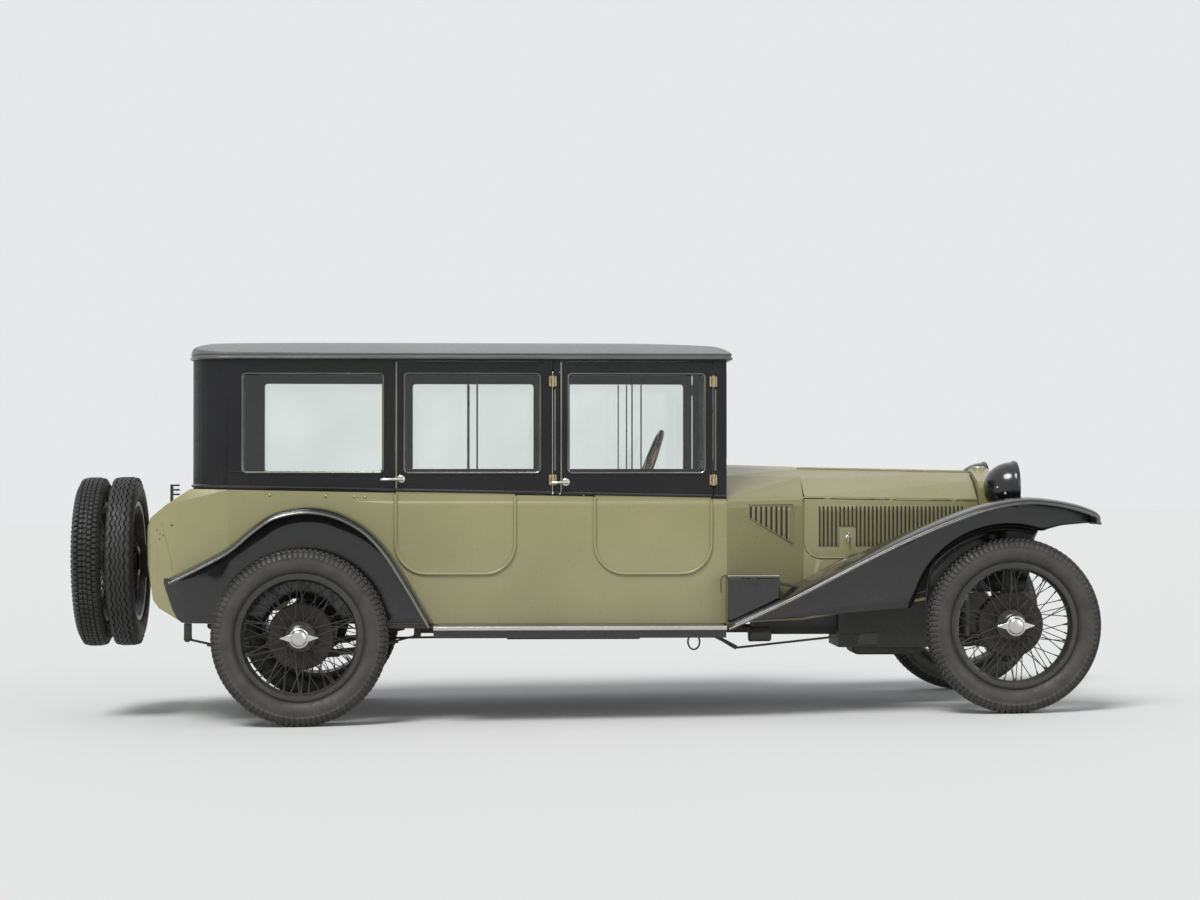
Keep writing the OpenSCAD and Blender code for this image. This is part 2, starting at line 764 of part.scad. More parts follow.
// ---- wings and running boards -------------------------------------------------------------
module band(path, y0, y1) {
    along_y(y0, y1) polygon(concat(path, reversed(shifted(path, -wing_t))));
}
board_x0 = 575;
rear_wing_path = smooth([[-560, 640], [-430, 704], [-310, 771], [-205, 858], [-115, 916], [0, 942], [107, 937],
                         [205, 905], [300, 845], [385, 752], [470, 620], [board_x0, 440]]);
board_x1 = 1834;
function wing_run(k) = between(board_x1, wheelbase, k);
front_wing_path = smooth([[board_x1, 440], [wing_run(0.21), 563], [wing_run(0.447), 716], [wing_run(0.645), 836],
                          [wing_run(0.826), 928], [wing_run(0.937), 968], [wheelbase + 45, 984],
                          [wheelbase + 150, 974], [wheelbase + 260, 947], [wheelbase + 350, 908]]);
wing_inner_x = wheelbase - 650;
// The rear wings' inner skins lie on the body's sides and leave room for the drums.
module rear_wings() {
    skin_t = 5;
    color(black) on_body() both() difference() {
        union() {
            band(reversed(rear_wing_path), 440, wing_y);
            intersection() {
                along_y(0, big / 2) polygon(concat([for (p = rear_wing_path) p + [0, -wing_t / 2]],
                                                   [[560, sill_z + 2], [-520, sill_z + 2]]));
                linear_extrude(big / 2) tub_plan(-skin_t);
                block([-big, 450, 0], [big, big, big]);
            }
        }
        linear_extrude(big / 2) tub_plan(-seat_gap);
        translate([0, big / 2, tyre_r]) rotate([90, 0, 0]) cylinder(h = big, d = drum_d + 40, $fn = fine);
    }
}
// A point of the scuttle's and the bonnet's side in plan, moved out.
function scuttle_side(x, out) = let (y = ramp(x, screen_x, body_y, scuttle_end, bonnet_y(scuttle_end)))
    [x, (x < bonnet_x0 ? y : bonnet_y(x)) + out];
// Plan of the front wings: along the scuttle and the bonnet, then free of the wheel.
module front_wings() {
    wing_in = 575;
    wing_tip = wheelbase + 370;
    skin_t = 4;
    inner = [for (x = [board_x1, screen_x, scuttle_end]) scuttle_side(x, eps)];
    outline = concat([[board_x1, wing_y], [wing_tip, wing_y], [wing_tip, wing_in + 15], [wheelbase + 200, wing_in],
                      [wheelbase - 400, wing_in], [wheelbase - 600, 480], scuttle_side(bonnet_x0 + 78, eps)],
                     reversed(inner));
    skin_side = concat([for (p = front_wing_path) if (p.x < wing_inner_x) p + [0, -wing_t / 2]],
                       [[wheelbase - 140, 690], [wheelbase - 140, 560], [scuttle_end, sill_z + 10]]);
    skin_plan = concat(inner, [for (out = [eps, eps + skin_t]) scuttle_side(wheelbase - 100, out)],
                       [for (p = reversed(inner)) p + [skin_t, skin_t]]);
    color(black) on_body() both() {
        intersection() {
            band(reversed(front_wing_path), 0, wing_y);
            linear_extrude(big / 2) polygon(outline);
        }
        intersection() {
            along_y(0, big / 2) polygon(skin_side);
            linear_extrude(big / 2) polygon(skin_plan);
        }
    }
}
// Each board carries a raised mat. A toolbox stands on the foot of each front wing.
mat_t = 3;
mat_edge = 17;
module running_boards() {
    top = sill_z - seat_gap;
    end = board_x1 - seat_gap;
    box_foot = [for (p = front_wing_path) if (p.x < wing_inner_x) p + [0, seat_gap]];
    color(black) on_body() both() {
        block([board_x0, body_y + seat_gap, sill_z - board_t], [end, wing_y, top - mat_t]);
        block([board_x0 + mat_edge, body_y + mat_edge, sill_z - board_t], [end - mat_edge, wing_y - mat_edge, top]);
        block([board_x0, wing_y - 40, sill_z - 54], [end, wing_y - 34, sill_z - board_t + eps]);
        difference() {
            block([1845, body_y + 6, sill_z], [2070, body_y + 126, 648]);
            along_y(0, big / 2) polygon(concat(box_foot, [[wing_inner_x, 0], [board_x1, 0]]));
        }
    }
}

// ---- rear axle and springs ----------------------------------------------------------------
stub_r = 25;
hub_in = 104;
module rear_axle() {
    color(iron) on_ground() {
        y = rear_track / 2;
        rod([0, -y + hub_in + 8, tyre_r], [0, y - hub_in - 8, tyre_r], 70, round_fn);
        translate([0, 0, tyre_r]) sphere(r = 125, $fn = fine);
        rod([0, -y - 40, tyre_r], [0, y + 40, tyre_r], 2 * stub_r, fine);
        both() rod([0, y - hub_in - 12, tyre_r], [0, y - hub_in - 6, tyre_r], drum_d - 4, fine);
        both() block([-35, spring_y - 30, leaf_top + seat_gap], [35, spring_y + 30, tyre_r]);
    }
}
spring_y = 500;
leaf_t = 6.5;
leaf_top = tyre_r - 68;
leaf_seat = 60;
function leaf_rise(x) = 60 * pow(max(abs(x) - leaf_seat, 0) / (500 - leaf_seat), 2);
module leaf(half, z) {
    xs = [for (k = [0:0.25:1]) between(leaf_seat, half, k)];
    path = [for (x = concat(-reversed(xs), xs)) [x, z + leaf_rise(x)]];
    along_y(spring_y - 24, spring_y + 24) polygon(concat(path, reversed(shifted(path, leaf_t))));
}
module leaf_springs() {
    color(iron) on_ground() both() {
        for (i = [0:4]) leaf(500 - 85 * i, leaf_top - leaf_t * i);
        for (x = [-500, 500]) rod([x, spring_y - 24, 375], [x, spring_y + 24, 375], 32, round_fn);
    }
    color(iron) on_body() both() {
        block([-514, spring_y - 30, 366], [-486, spring_y + 30, sill_z - seat_gap]);
        block([486, spring_y - 30, 372], [514, spring_y + 30, floor_z - floor_t - seat_gap]);
    }
}

// ---- front suspension ---------------------------------------------------------------------
pillar_r = 28;
pin_r = 18;
knuckle_low = 320;
knuckle_high = 450;
module front_suspension() {
    color(iron) on_ground() translate([wheelbase, 0, 0]) both() {
        rod([0, kingpin_y, 215], [0, kingpin_y, knuckle_low - 2], 2 * pillar_r, round_fn);
        rod([0, kingpin_y, knuckle_high + 2], [0, kingpin_y, 700], 2 * pillar_r, round_fn);
        rod([0, kingpin_y, 250], [0, kingpin_y, 650], 2 * pin_r, fine);
        for (z = [245, 640]) {
            rod([85, -5, z], [85, 170, z], 40, round_fn);
            rod([85, 170, z], [0, kingpin_y, z], 40, round_fn);
            translate([85, 170, z]) sphere(r = 24, $fn = round_fn);
        }
        rod([85, 170, 245], [85, 170, 640], 36, round_fn);
        rod([-115, bonnet_y(wheelbase - 100) + 14, 640], [0, kingpin_y, 640], 30, round_fn);
    }
    color(iron) on_body() both() intersection() {
        taper_strip(wheelbase - 145, radiator_x - 4, -20, 20 - skin_out);
        block([0, 0, 650], [big, big, 700]);
    }
}
skin_out = 6;
arm_x = -160;
arm_y = kingpin_y;
arm_z = 300;
module knuckle(s) {
    color(iron) on_ground() translate([wheelbase, 0, 0]) side(s) {
        hub_y = front_track / 2;
        difference() {
            union() {
                rod([0, kingpin_y, knuckle_low], [0, kingpin_y, knuckle_high], 62, round_fn);
                rod([0, kingpin_y, tyre_r], [0, hub_y + 40, tyre_r], 2 * stub_r, fine);
                rod([0, hub_y - hub_in - 12, tyre_r], [0, hub_y - hub_in - 6, tyre_r], drum_d - 4, fine);
                rod([-10, kingpin_y - 8, knuckle_low + 14], [arm_x, arm_y, knuckle_low + 14], 24, round_fn);
                translate([arm_x, arm_y, arm_z - 16]) cylinder(h = knuckle_low + 30 - arm_z, r = 8, $fn = fine);
            }
            translate([0, kingpin_y, 0]) cylinder(h = 2 * tyre_r, r = pin_r + run_gap, $fn = fine);
        }
    }
}
module track_rod() {
    color(iron) on_ground() translate([wheelbase + arm_x, 0, 0]) difference() {
        union() {
            rod([0, -arm_y + 14, arm_z], [0, arm_y - 14, arm_z], 20, round_fn);
            both() translate([0, arm_y, arm_z - 12]) cylinder(h = 24, r = 20, $fn = round_fn);
        }
        translate([0, -arm_y, 0]) cylinder(h = big, r = 8 + run_gap, $fn = fine);
        translate([0, arm_y, 0]) cylinder(h = big, r = 8 + 1.5, $fn = fine);
    }
}

// ---- steering and driver's controls -------------------------------------------------------
helm = [1511, -330, 1082];
helm_tilt = 20.7;
helm_r = 215;
module on_column() {
    translate(helm) rotate([0, -90 + helm_tilt, 0]) children();
}
column_len = 640;
column_r = 21;
module column(r) {
    on_column() translate([0, 0, -column_len]) cylinder(h = column_len - 36, r = r, $fn = round_fn);
}
module steering_wheel() {
    color([0.25, 0.12, 0.05]) on_body() on_column() {
        rotate_extrude($fn = fine) translate([helm_r - 13, 0]) circle(r = 13, $fn = 24);
        for (a = [45:90:315]) rotate(a) rod([20, 0, -4], [helm_r - 16, 0, 0], 14, round_fn);
        difference() {
            translate([0, 0, -30]) cylinder(h = 38, r = 30, $fn = round_fn);
            translate([0, 0, -31]) cylinder(h = 20, r = 14 + run_gap, $fn = round_fn);
        }
    }
}
module driver_controls() {
    color(iron) on_body() {
        column(column_r);
        on_column() translate([0, 0, -60]) cylinder(h = 46, r = 14, $fn = round_fn);
        block([2080, -355, 815], [2120, -265, 885]);
        block([2110, -322, 815], [scuttle_end - fire_t - seat_gap, -265, 885]);
        for (y = [-60, 40]) block([1510, y - 24, tunnel_z + seat_gap], [1580, y + 24, tunnel_z + 12]);
        rod([1545, 40, tunnel_z + 6], [1450, 40, 860], 16, round_fn);
        translate([1450, 40, 862]) sphere(r = 22, $fn = round_fn);
        rod([1560, -60, tunnel_z + 6], [1500, -60, 820], 14, round_fn);
    }
}

// ---- wheels and tyres ---------------------------------------------------------------------
seat_r = rim_d / 2 - 14;
edge_r = rim_d / 2;
lip_t = 6;
cap_out = 78;
module rim() {
    w = rim_w / 2;
    half = [[seat_r, w - lip_t], [edge_r, w - lip_t], [edge_r, w], [seat_r - 6, w], [seat_r - 14, 14]];
    rotate_extrude($fn = fine) polygon(concat(half, [for (p = reversed(half)) [p.x, -p.y]]));
}
module spokes() {
    step = 360 / spoke_pairs;
    for (i = [0:spoke_pairs - 1], s = [-1, 1]) {
        rod(polar(46, i * step, 22), polar(seat_r - 10, i * step + s * 17, 16), spoke_d);
        rod(polar(60, (i + 0.5) * step, -41), polar(seat_r - 10, (i + 0.5) * step + s * 40, -16), spoke_d);
    }
}
module barrel_hub(inner) {
    rotate_extrude($fn = fine)
        polygon([[stub_r + run_gap, 45], [46, 45], [46, 30], [52, 26], [52, 18], [38, 14], [38, -30], [66, -36],
                 [66, -46], [40, -50], [40, inner], [stub_r + run_gap, inner]]);
}
// A road wheel: its axis is Z, with the outer side up. The drum is open on the inner side.
module road_wheel() {
    rim();
    spokes();
    barrel_hub(-96);
    rotate_extrude($fn = fine) polygon([[0, cap_out], [34, cap_out - 4], [44, cap_out - 16], [44, 44], [0, 44]]);
    r = drum_d / 2;
    rotate_extrude($fn = fine)
        polygon([[39, -52], [r - 5, -52], [r, -57], [r, -hub_in], [r - 8, -hub_in], [r - 8, -60], [39, -60]]);
}
module spare_wheel() {
    rim();
    spokes();
    barrel_hub(-58);
}
module tyre_ring() {
    w = tyre_w / 2;
    mid = tyre_r - 60;
    low = edge_r + 1.5;
    high = tyre_r - 8;
    below = (mid - low) / sin(60);
    above = (high - mid) / sin(48);
    side_pts = [for (t = [-60:12:48]) [mid + (t < 0 ? below : above) * sin(t), w * cos(t)]];
    bead_y = rim_w / 2 - lip_t - seat_gap;
    half = concat([[seat_r + seat_gap, bead_y], [low, bead_y]],
                  [for (p = side_pts) if (p.x > low) p], [[tyre_r - 2, w * 0.5], [tyre_r, w * 0.3]]);
    rotate_extrude($fn = fine) polygon(concat(half, [for (p = reversed(half)) [p.x, -p.y]]));
}
module at_wheel(x, y, s) {
    on_ground() translate([x, s * y, tyre_r]) rotate([-90 * s, 0, 0]) children();
}
module front_wheel(s) {
    color(black) at_wheel(wheelbase, front_track / 2, s) road_wheel();
}
module front_tyre(s) {
    color(iron) at_wheel(wheelbase, front_track / 2, s) tyre_ring();
}
module rear_wheel(s) {
    color(black) at_wheel(0, rear_track / 2, s) road_wheel();
}
module rear_tyre(s) {
    color(iron) at_wheel(0, rear_track / 2, s) tyre_ring();
}
spare_z = 702;
module at_spares() {
    on_ground() for (x = spare_x) translate([x, 0, spare_z]) rotate([0, -90, 0]) children();
}
module spare_wheels() {
    color(black) at_spares() spare_wheel();
}
module spare_tyres() {
    color(iron) at_spares() tyre_ring();
}
module spare_carrier() {
    color(iron) on_ground() {
        rod([-1024, 0, spare_z], [-700, 0, spare_z], 2 * stub_r, fine);
        rod([-1026, 0, spare_z], [-1012, 0, spare_z], 92, fine);
        rod([-761, 0, spare_z], [-731, 0, spare_z], 120, fine);
    }
    color(iron) difference() {
        on_ground() rod([-740, 0, spare_z], [-650, 0, spare_z], 150, fine);
        on_body() along_y(-big / 2, big / 2)
            polygon(concat([[0, sill_z], [0, 1000]], [for (p = tail) p + [-seat_gap, 0]]));
    }
}

body_tub();
floor_pan();
scuttle();
chassis_front();
dashboard();
seat_frames();
seat_cushions();
hard_top();
roof();
fixed_glass();
radiator_shell();
radiator_core();
headlamps();
headlamp_lenses();
engine();
rear_axle();
leaf_springs();
front_suspension();
exhaust();
front_wings();
rear_wings();
running_boards();
spare_carrier();
spare_wheels();
spare_tyres();
driver_controls();
door_panel(front_door, right);  // front_door_panel_right
door_frame(front_door, right);  // front_door_frame_right
door_glass(front_door, right);  // front_door_glass_right
door_panel(front_door, left);  // front_door_panel_left
door_frame(front_door, left);  // front_door_frame_left
door_glass(front_door, left);  // front_door_glass_left
door_panel(rear_door, right);  // rear_door_panel_right
door_frame(rear_door, right);  // rear_door_frame_right
door_glass(rear_door, right);  // rear_door_glass_right
door_panel(rear_door, left);  // rear_door_panel_left
door_frame(rear_door, left);  // rear_door_frame_left
door_glass(rear_door, left);  // rear_door_glass_left
bonnet_top(right);  // bonnet_top_right
bonnet_side(right);  // bonnet_side_right
bonnet_top(left);  // bonnet_top_left
bonnet_side(left);  // bonnet_side_left
boot_lid();
knuckle(right);  // knuckle_right
knuckle(left);  // knuckle_left
track_rod();
steering_wheel();
front_wheel(right);  // front_wheel_right
front_tyre(right);  // front_tyre_right
front_wheel(left);  // front_wheel_left
front_tyre(left);  // front_tyre_left
rear_wheel(right);  // rear_wheel_right
rear_tyre(right);  // rear_tyre_right
rear_wheel(left);  // rear_wheel_left
rear_tyre(left);  // rear_tyre_left
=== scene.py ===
"""Looks for a closed 1920s touring car: crowned wings, wire wheels, louvres, trim, seats and finishes.

Lengths are metres. Body coordinates follow part.scad: x forward from the rear axle, y to the left,
z up from the ground, in a frame that leans nose-down about the rear axle.
"""
import json
from math import copysign, cos, exp, pi, radians, sin, sqrt, tau

import bmesh
import bpy
from mathutils import Matrix, Vector


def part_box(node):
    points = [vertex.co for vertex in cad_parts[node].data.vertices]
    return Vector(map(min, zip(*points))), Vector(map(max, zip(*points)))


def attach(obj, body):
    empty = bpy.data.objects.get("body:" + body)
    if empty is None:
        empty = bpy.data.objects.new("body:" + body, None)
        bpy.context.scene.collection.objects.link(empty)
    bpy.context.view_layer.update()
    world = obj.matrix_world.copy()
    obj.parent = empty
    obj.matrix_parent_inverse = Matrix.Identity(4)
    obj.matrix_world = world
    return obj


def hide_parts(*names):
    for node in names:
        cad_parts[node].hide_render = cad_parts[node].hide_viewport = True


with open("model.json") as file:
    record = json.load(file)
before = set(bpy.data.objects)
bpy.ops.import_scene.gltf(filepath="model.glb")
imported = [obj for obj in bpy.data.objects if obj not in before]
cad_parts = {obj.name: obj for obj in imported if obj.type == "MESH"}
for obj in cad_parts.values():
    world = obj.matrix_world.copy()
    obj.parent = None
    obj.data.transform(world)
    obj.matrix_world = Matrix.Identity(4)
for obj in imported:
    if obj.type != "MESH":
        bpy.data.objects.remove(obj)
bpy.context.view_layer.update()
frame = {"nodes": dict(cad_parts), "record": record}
scene = bpy.context.scene
scene.view_settings.view_transform = "Standard"

# ---- camera: low, opposite the doors, at the photo's distance ----
camera = bpy.data.objects.new("camera", bpy.data.cameras.new("camera"))
camera.data.lens = 80.15
camera.data.clip_end = 200.0
camera.matrix_world = (Matrix.Translation((-0.44, -12.245, 1.064))
                       @ Matrix.Rotation(radians(-2.564), 4, "Z")
                       @ Matrix.Rotation(radians(90.532), 4, "X")
                       @ Matrix.Rotation(radians(-0.795), 4, "Z"))
scene.collection.objects.link(camera)
scene.camera = camera

# ---- frames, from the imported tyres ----
SIDES = ((-1, "right"), (1, "left"))


def middle(node):
    lo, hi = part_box(node)
    return (Vector(lo) + Vector(hi)) / 2


tyre_lo, tyre_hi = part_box("rear_tyre_right")
TYRE_R = (tyre_hi[2] - tyre_lo[2]) / 2
TYRE_W = tyre_hi[1] - tyre_lo[1]
AXLE_X = middle("rear_tyre_right").x
WHEELBASE = middle("front_tyre_right").x - AXLE_X
FRONT_Y = abs(middle("front_tyre_left").y)
REAR_Y = abs(middle("rear_tyre_left").y)
RAKE = radians(0.8)
GROUND = Matrix.Translation((AXLE_X, 0, 0))
BODY = (Matrix.Translation((AXLE_X, 0, TYRE_R)) @ Matrix.Rotation(RAKE, 4, "Y")
        @ Matrix.Translation((0, 0, -TYRE_R)))


def turned(at, degrees, axis="Y"):
    return Matrix.Translation(at) @ Matrix.Rotation(radians(degrees), 4, axis)


def wheel_frame(x, y, side):
    """A road wheel's own frame: +Z along its axle, outwards."""
    return turned((AXLE_X + x, side * y, TYRE_R), -90 * side, "X")


# ---- body sizes, as in part.scad ----
BODY_Y = 0.608
CABIN_Y = 0.6
SCREEN_X = 1.851
CABIN_BACK = -0.487
CABIN_CORNER = 0.17
TAPER_X = 0.4
ROOF_Z = 1.585
FRAME_TOP = 1.573
SILL_Z = 0.435
DOOR_Z = 0.651
DOOR_R = 0.13
WINDOW_Z = (1.098, 1.517)
QUARTER = (-0.252, 0.348)
BONNET_X = (2.222, 3.022)
BONNET_Y = (0.345, 0.245)
WING_Y = 0.806
BOARD_X = (0.575, 1.834)
# A door: rear and front edges below, rear and front edges above, window rear and front.
DOORS = {"front": (1.274, 1.784, 1.126, 1.79, 1.165, 1.75),
         "rear": (0.408, 0.927, 0.409, 1.088, 0.452, 1.03)}
HINGE_Z = (1.06, 1.49)


def between(a, b, t):
    return a + (b - a) * t


def through(points, x):
    """The height at x of a line through the points, which run with x."""
    if x <= points[0][0]:
        return points[0][1]
    for (x0, y0), (x1, y1) in zip(points, points[1:]):
        if x <= x1:
            return between(y0, y1, (x - x0) / (x1 - x0))
    return points[-1][1]


def waist(x):
    return 1.011 - 0.0188 * x


def body_side(x):
    """Half width of the lower body at x, along the scuttle and the bonnet too."""
    return through([(-0.624, 0.498), (CABIN_BACK + CABIN_CORNER, BODY_Y - 0.022), (TAPER_X, BODY_Y),
                    (SCREEN_X, BODY_Y), (BONNET_X[0], BONNET_Y[0]), (BONNET_X[1], BONNET_Y[1])], x)


def cabin_side(x):
    return through([(CABIN_BACK + CABIN_CORNER, CABIN_Y - 0.022), (TAPER_X, CABIN_Y)], x)


def smooth_path(points, steps=5):
    """A smooth curve through the points."""
    out = []
    last = len(points) - 1
    for i in range(last):
        a, b, c, d = (Vector(points[max(0, min(k, last))]) for k in (i - 1, i, i + 1, i + 2))
        for k in range(steps):
            t = k / steps
            out.append(0.5 * (2 * b + (c - a) * t + (2 * a - 5 * b + 4 * c - d) * t * t
                              + (3 * b - a - 3 * c + d) * t ** 3))
    return out + [Vector(points[-1])]


def arc(cx, cy, r, a0, a1, n=6):
    """Points of a round corner, from a0 to a1 degrees."""
    angles = (radians(between(a0, a1, k / n)) for k in range(n + 1))
    return [(cx + r * cos(a), cy + r * sin(a)) for a in angles]


def rounded(x0, x1, z0, z1, r):
    return (arc(x0 + r, z0 + r, r, 180, 270, 4) + arc(x1 - r, z0 + r, r, 270, 360, 4)
            + arc(x1 - r, z1 - r, r, 0, 90, 4) + arc(x0 + r, z1 - r, r, 90, 180, 4))


# ---- shapes ----
class Shape:
    """The points and faces of one piece, gathered in its own frame and made an object by make()."""

    def __init__(self):
        self.points = []
        self.faces = []

    def add(self, points, faces):
        first = len(self.points)
        self.points += [Vector(p) for p in points]
        self.faces += [tuple(first + i for i in face) for face in faces]
        return self

    def block(self, lo, hi):
        points = [(x, y, z) for z in (lo[2], hi[2]) for y in (lo[1], hi[1]) for x in (lo[0], hi[0])]
        return self.add(points, [(0, 2, 3, 1), (4, 5, 7, 6), (0, 1, 5, 4),
                                 (2, 6, 7, 3), (0, 4, 6, 2), (1, 3, 7, 5)])

    def grid(self, rows, around=False, along=False):
        """A sheet through rows of points. around closes each row, along joins the last row to the first."""
        n, m = len(rows), len(rows[0])
        faces = [(i * m + k, i * m + (k + 1) % m, (i + 1) % n * m + (k + 1) % m, (i + 1) % n * m + k)
                 for i in range(n if along else n - 1) for k in range(m if around else m - 1)]
        return self.add([p for row in rows for p in row], faces)

    def tube(self, path, radius, sides=8, closed=False):
        """A round bar along a path, of one radius or one for each point."""
        path = [Vector(p) for p in path]
        n = len(path)
        radii = radius if isinstance(radius, list) else [radius] * n
        up = None
        rows = []
        for i, (p, r) in enumerate(zip(path, radii)):
            before = path[i - 1] if i or closed else p
            after = path[(i + 1) % n] if i < n - 1 or closed else p
            ahead = (after - before).normalized()
            up = up or ahead.orthogonal()
            across = ahead.cross(up).normalized()
            up = across.cross(ahead).normalized()
            turns = (tau * k / sides for k in range(sides))
            rows.append([p + r * (cos(t) * across + sin(t) * up) for t in turns])
        first = len(self.points)
        self.grid(rows, around=True, along=closed)
        if not closed:
            self.faces.append(tuple(first + k for k in range(sides)))
            self.faces.append(tuple(first + (n - 1) * sides + k for k in reversed(range(sides))))
        return self

    def lathe(self, profile, steps=48, place=None, ring=False):
        """(radius, z) points turned about Z. ring closes the profile on itself."""
        place = place or Matrix.Identity(4)
        rows = []
        for k in range(steps):
            c, s = cos(tau * k / steps), sin(tau * k / steps)
            rows.append([place @ Vector((r * c, r * s, z)) for r, z in profile])
        return self.grid(rows, around=ring, along=True)

    def disc(self, at, axis, r, t, steps=20):
        """A small domed stud at a place, along an axis."""
        place = Matrix.Translation(at) @ Vector(axis).to_track_quat("Z", "X").to_matrix().to_4x4()
        return self.lathe([(0, t), (0.5 * r, 0.9 * t), (0.85 * r, 0.55 * t), (r, 0), (0, 0)], steps, place)

    def prism(self, outline, y0, y1):
        """An (x, z) outline drawn out along Y."""
        n = len(outline)
        sides = [(k, (k + 1) % n, n + (k + 1) % n, n + k) for k in range(n)]
        points = [(x, y, z) for y in (y0, y1) for x, z in outline]
        return self.add(points, sides + [tuple(reversed(range(n))), tuple(range(n, 2 * n))])


def new_object(name, data):
    made = bpy.data.objects.new(name, data)
    scene.collection.objects.link(made)
    return made


def make(name, shape, finish, body="root", place=BODY, stands_for=(), bevel=0.0, solid=0.0, sharp=35):
    """Makes a shape an object with a finish, on a body. stands_for names the CAD nodes it replaces."""
    mesh = bpy.data.meshes.new(name)
    mesh.from_pydata([place @ p for p in shape.points], [], shape.faces)
    edit = bmesh.new()
    edit.from_mesh(mesh)
    bmesh.ops.remove_doubles(edit, verts=edit.verts, dist=1e-6)
    bmesh.ops.recalc_face_normals(edit, faces=edit.faces)
    edit.to_mesh(mesh)
    edit.free()
    mesh.shade_smooth()
    mesh.set_sharp_from_angle(angle=radians(sharp))
    mesh.materials.append(FINISHES[finish])
    piece = new_object(name, mesh)
    if solid:
        wall = piece.modifiers.new("wall", "SOLIDIFY")
        wall.thickness = solid
        wall.offset = 0.0
    if bevel:
        soften(piece, bevel)
    if stands_for:
        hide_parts(*stands_for)
    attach(piece, body)
    return piece


def soften(piece, width):
    edge = piece.modifiers.new("edges", "BEVEL")
    edge.width = width
    edge.segments = 2
    edge.limit_method = "ANGLE"
    edge.angle_limit = radians(35)


# ---- finishes ----
FINISHES = {}
BUMPS = {"NOISE": ("ShaderNodeTexNoise", "Fac"), "CELLS": ("ShaderNodeTexVoronoi", "Distance"),
         "BANDS": ("ShaderNodeTexWave", "Fac")}
ROAD_DUST = (0.3, 0.275, 0.225, 1)


def finish(name, low, high, rough, cloud=3.0, metallic=0.0, grain=0.0, depth=0.0, pattern="NOISE",
           dust=0.0, dust_axis="Z", sink=0.0, **sockets):
    """A surface whose colour drifts from low to high and whose roughness varies.

    grain and depth set the bump. dust settles on faces along an axis, and sink adds more low down.
    """
    surface = bpy.data.materials.new(name)
    surface.use_nodes = True
    nodes, links = surface.node_tree.nodes, surface.node_tree.links
    shader = nodes["Principled BSDF"]
    where = nodes.new("ShaderNodeTexCoord").outputs["Object"]

    def texture(kind, scale, out):
        node = nodes.new(kind)
        node.inputs["Scale"].default_value = scale
        if "Detail" in node.inputs:
            node.inputs["Detail"].default_value = 5.0
        links.new(where, node.inputs["Vector"])
        return node.outputs[out]

    def spread(value, low, high, start=0.3, end=0.7):
        node = nodes.new("ShaderNodeMapRange")
        for key, number in (("From Min", start), ("From Max", end), ("To Min", low), ("To Max", high)):
            node.inputs[key].default_value = number
        links.new(value, node.inputs["Value"])
        return node.outputs["Result"]

    def blend(factor, a, b):
        node = nodes.new("ShaderNodeMix")
        node.data_type = "RGBA"
        links.new(factor, node.inputs[0])
        for socket, colour in ((node.inputs[6], a), (node.inputs[7], b)):
            if isinstance(colour, tuple):
                socket.default_value = colour
            else:
                links.new(colour, socket)
        return node.outputs[2]

    def combine(kind, a, b):
        node = nodes.new("ShaderNodeMath")
        node.operation = kind
        links.new(a, node.inputs[0])
        if isinstance(b, float):
            node.inputs[1].default_value = b
        else:
            links.new(b, node.inputs[1])
        return node.outputs[0]

    clouds = texture("ShaderNodeTexNoise", cloud, "Fac")
    specks = texture("ShaderNodeTexNoise", 60.0, "Fac")
    colour = blend(spread(clouds, 0.0, 1.0), (*low, 1), (*high, 1))
    colour = blend(spread(specks, 0.0, 0.14, 0.45, 0.75), colour, (*low, 1))
    if dust:
        faces = nodes.new("ShaderNodeSeparateXYZ")
        links.new(nodes.new("ShaderNodeNewGeometry").outputs["Normal"], faces.inputs[0])
        facing = faces.outputs[dust_axis]
        if dust_axis != "Z":
            facing = combine("ABSOLUTE", facing, 0.0)
        settled = combine("MULTIPLY", spread(facing, 0.0, dust, 0.35, 0.95), spread(clouds, 0.6, 1.2))
        colour = blend(settled, colour, ROAD_DUST)
    if sink:
        heights = nodes.new("ShaderNodeSeparateXYZ")
        links.new(where, heights.inputs[0])
        low_down = spread(heights.outputs["Z"], sink, 0.0, 0.25, 0.85)
        low_down = combine("MULTIPLY", low_down, spread(specks, 0.5, 1.3))
        colour = blend(low_down, colour, ROAD_DUST)
    links.new(colour, shader.inputs["Base Color"])
    links.new(spread(specks, rough[0], rough[1]), shader.inputs["Roughness"])
    shader.inputs["Metallic"].default_value = metallic
    for key, value in sockets.items():
        shader.inputs[key.replace("_", " ")].default_value = value
    if depth:
        kind, out = BUMPS[pattern]
        bump = nodes.new("ShaderNodeBump")
        bump.inputs["Distance"].default_value = depth
        bump.inputs["Strength"].default_value = 0.8
        links.new(texture(kind, grain, out), bump.inputs["Height"])
        links.new(bump.outputs["Normal"], shader.inputs["Normal"])
    FINISHES[name] = surface


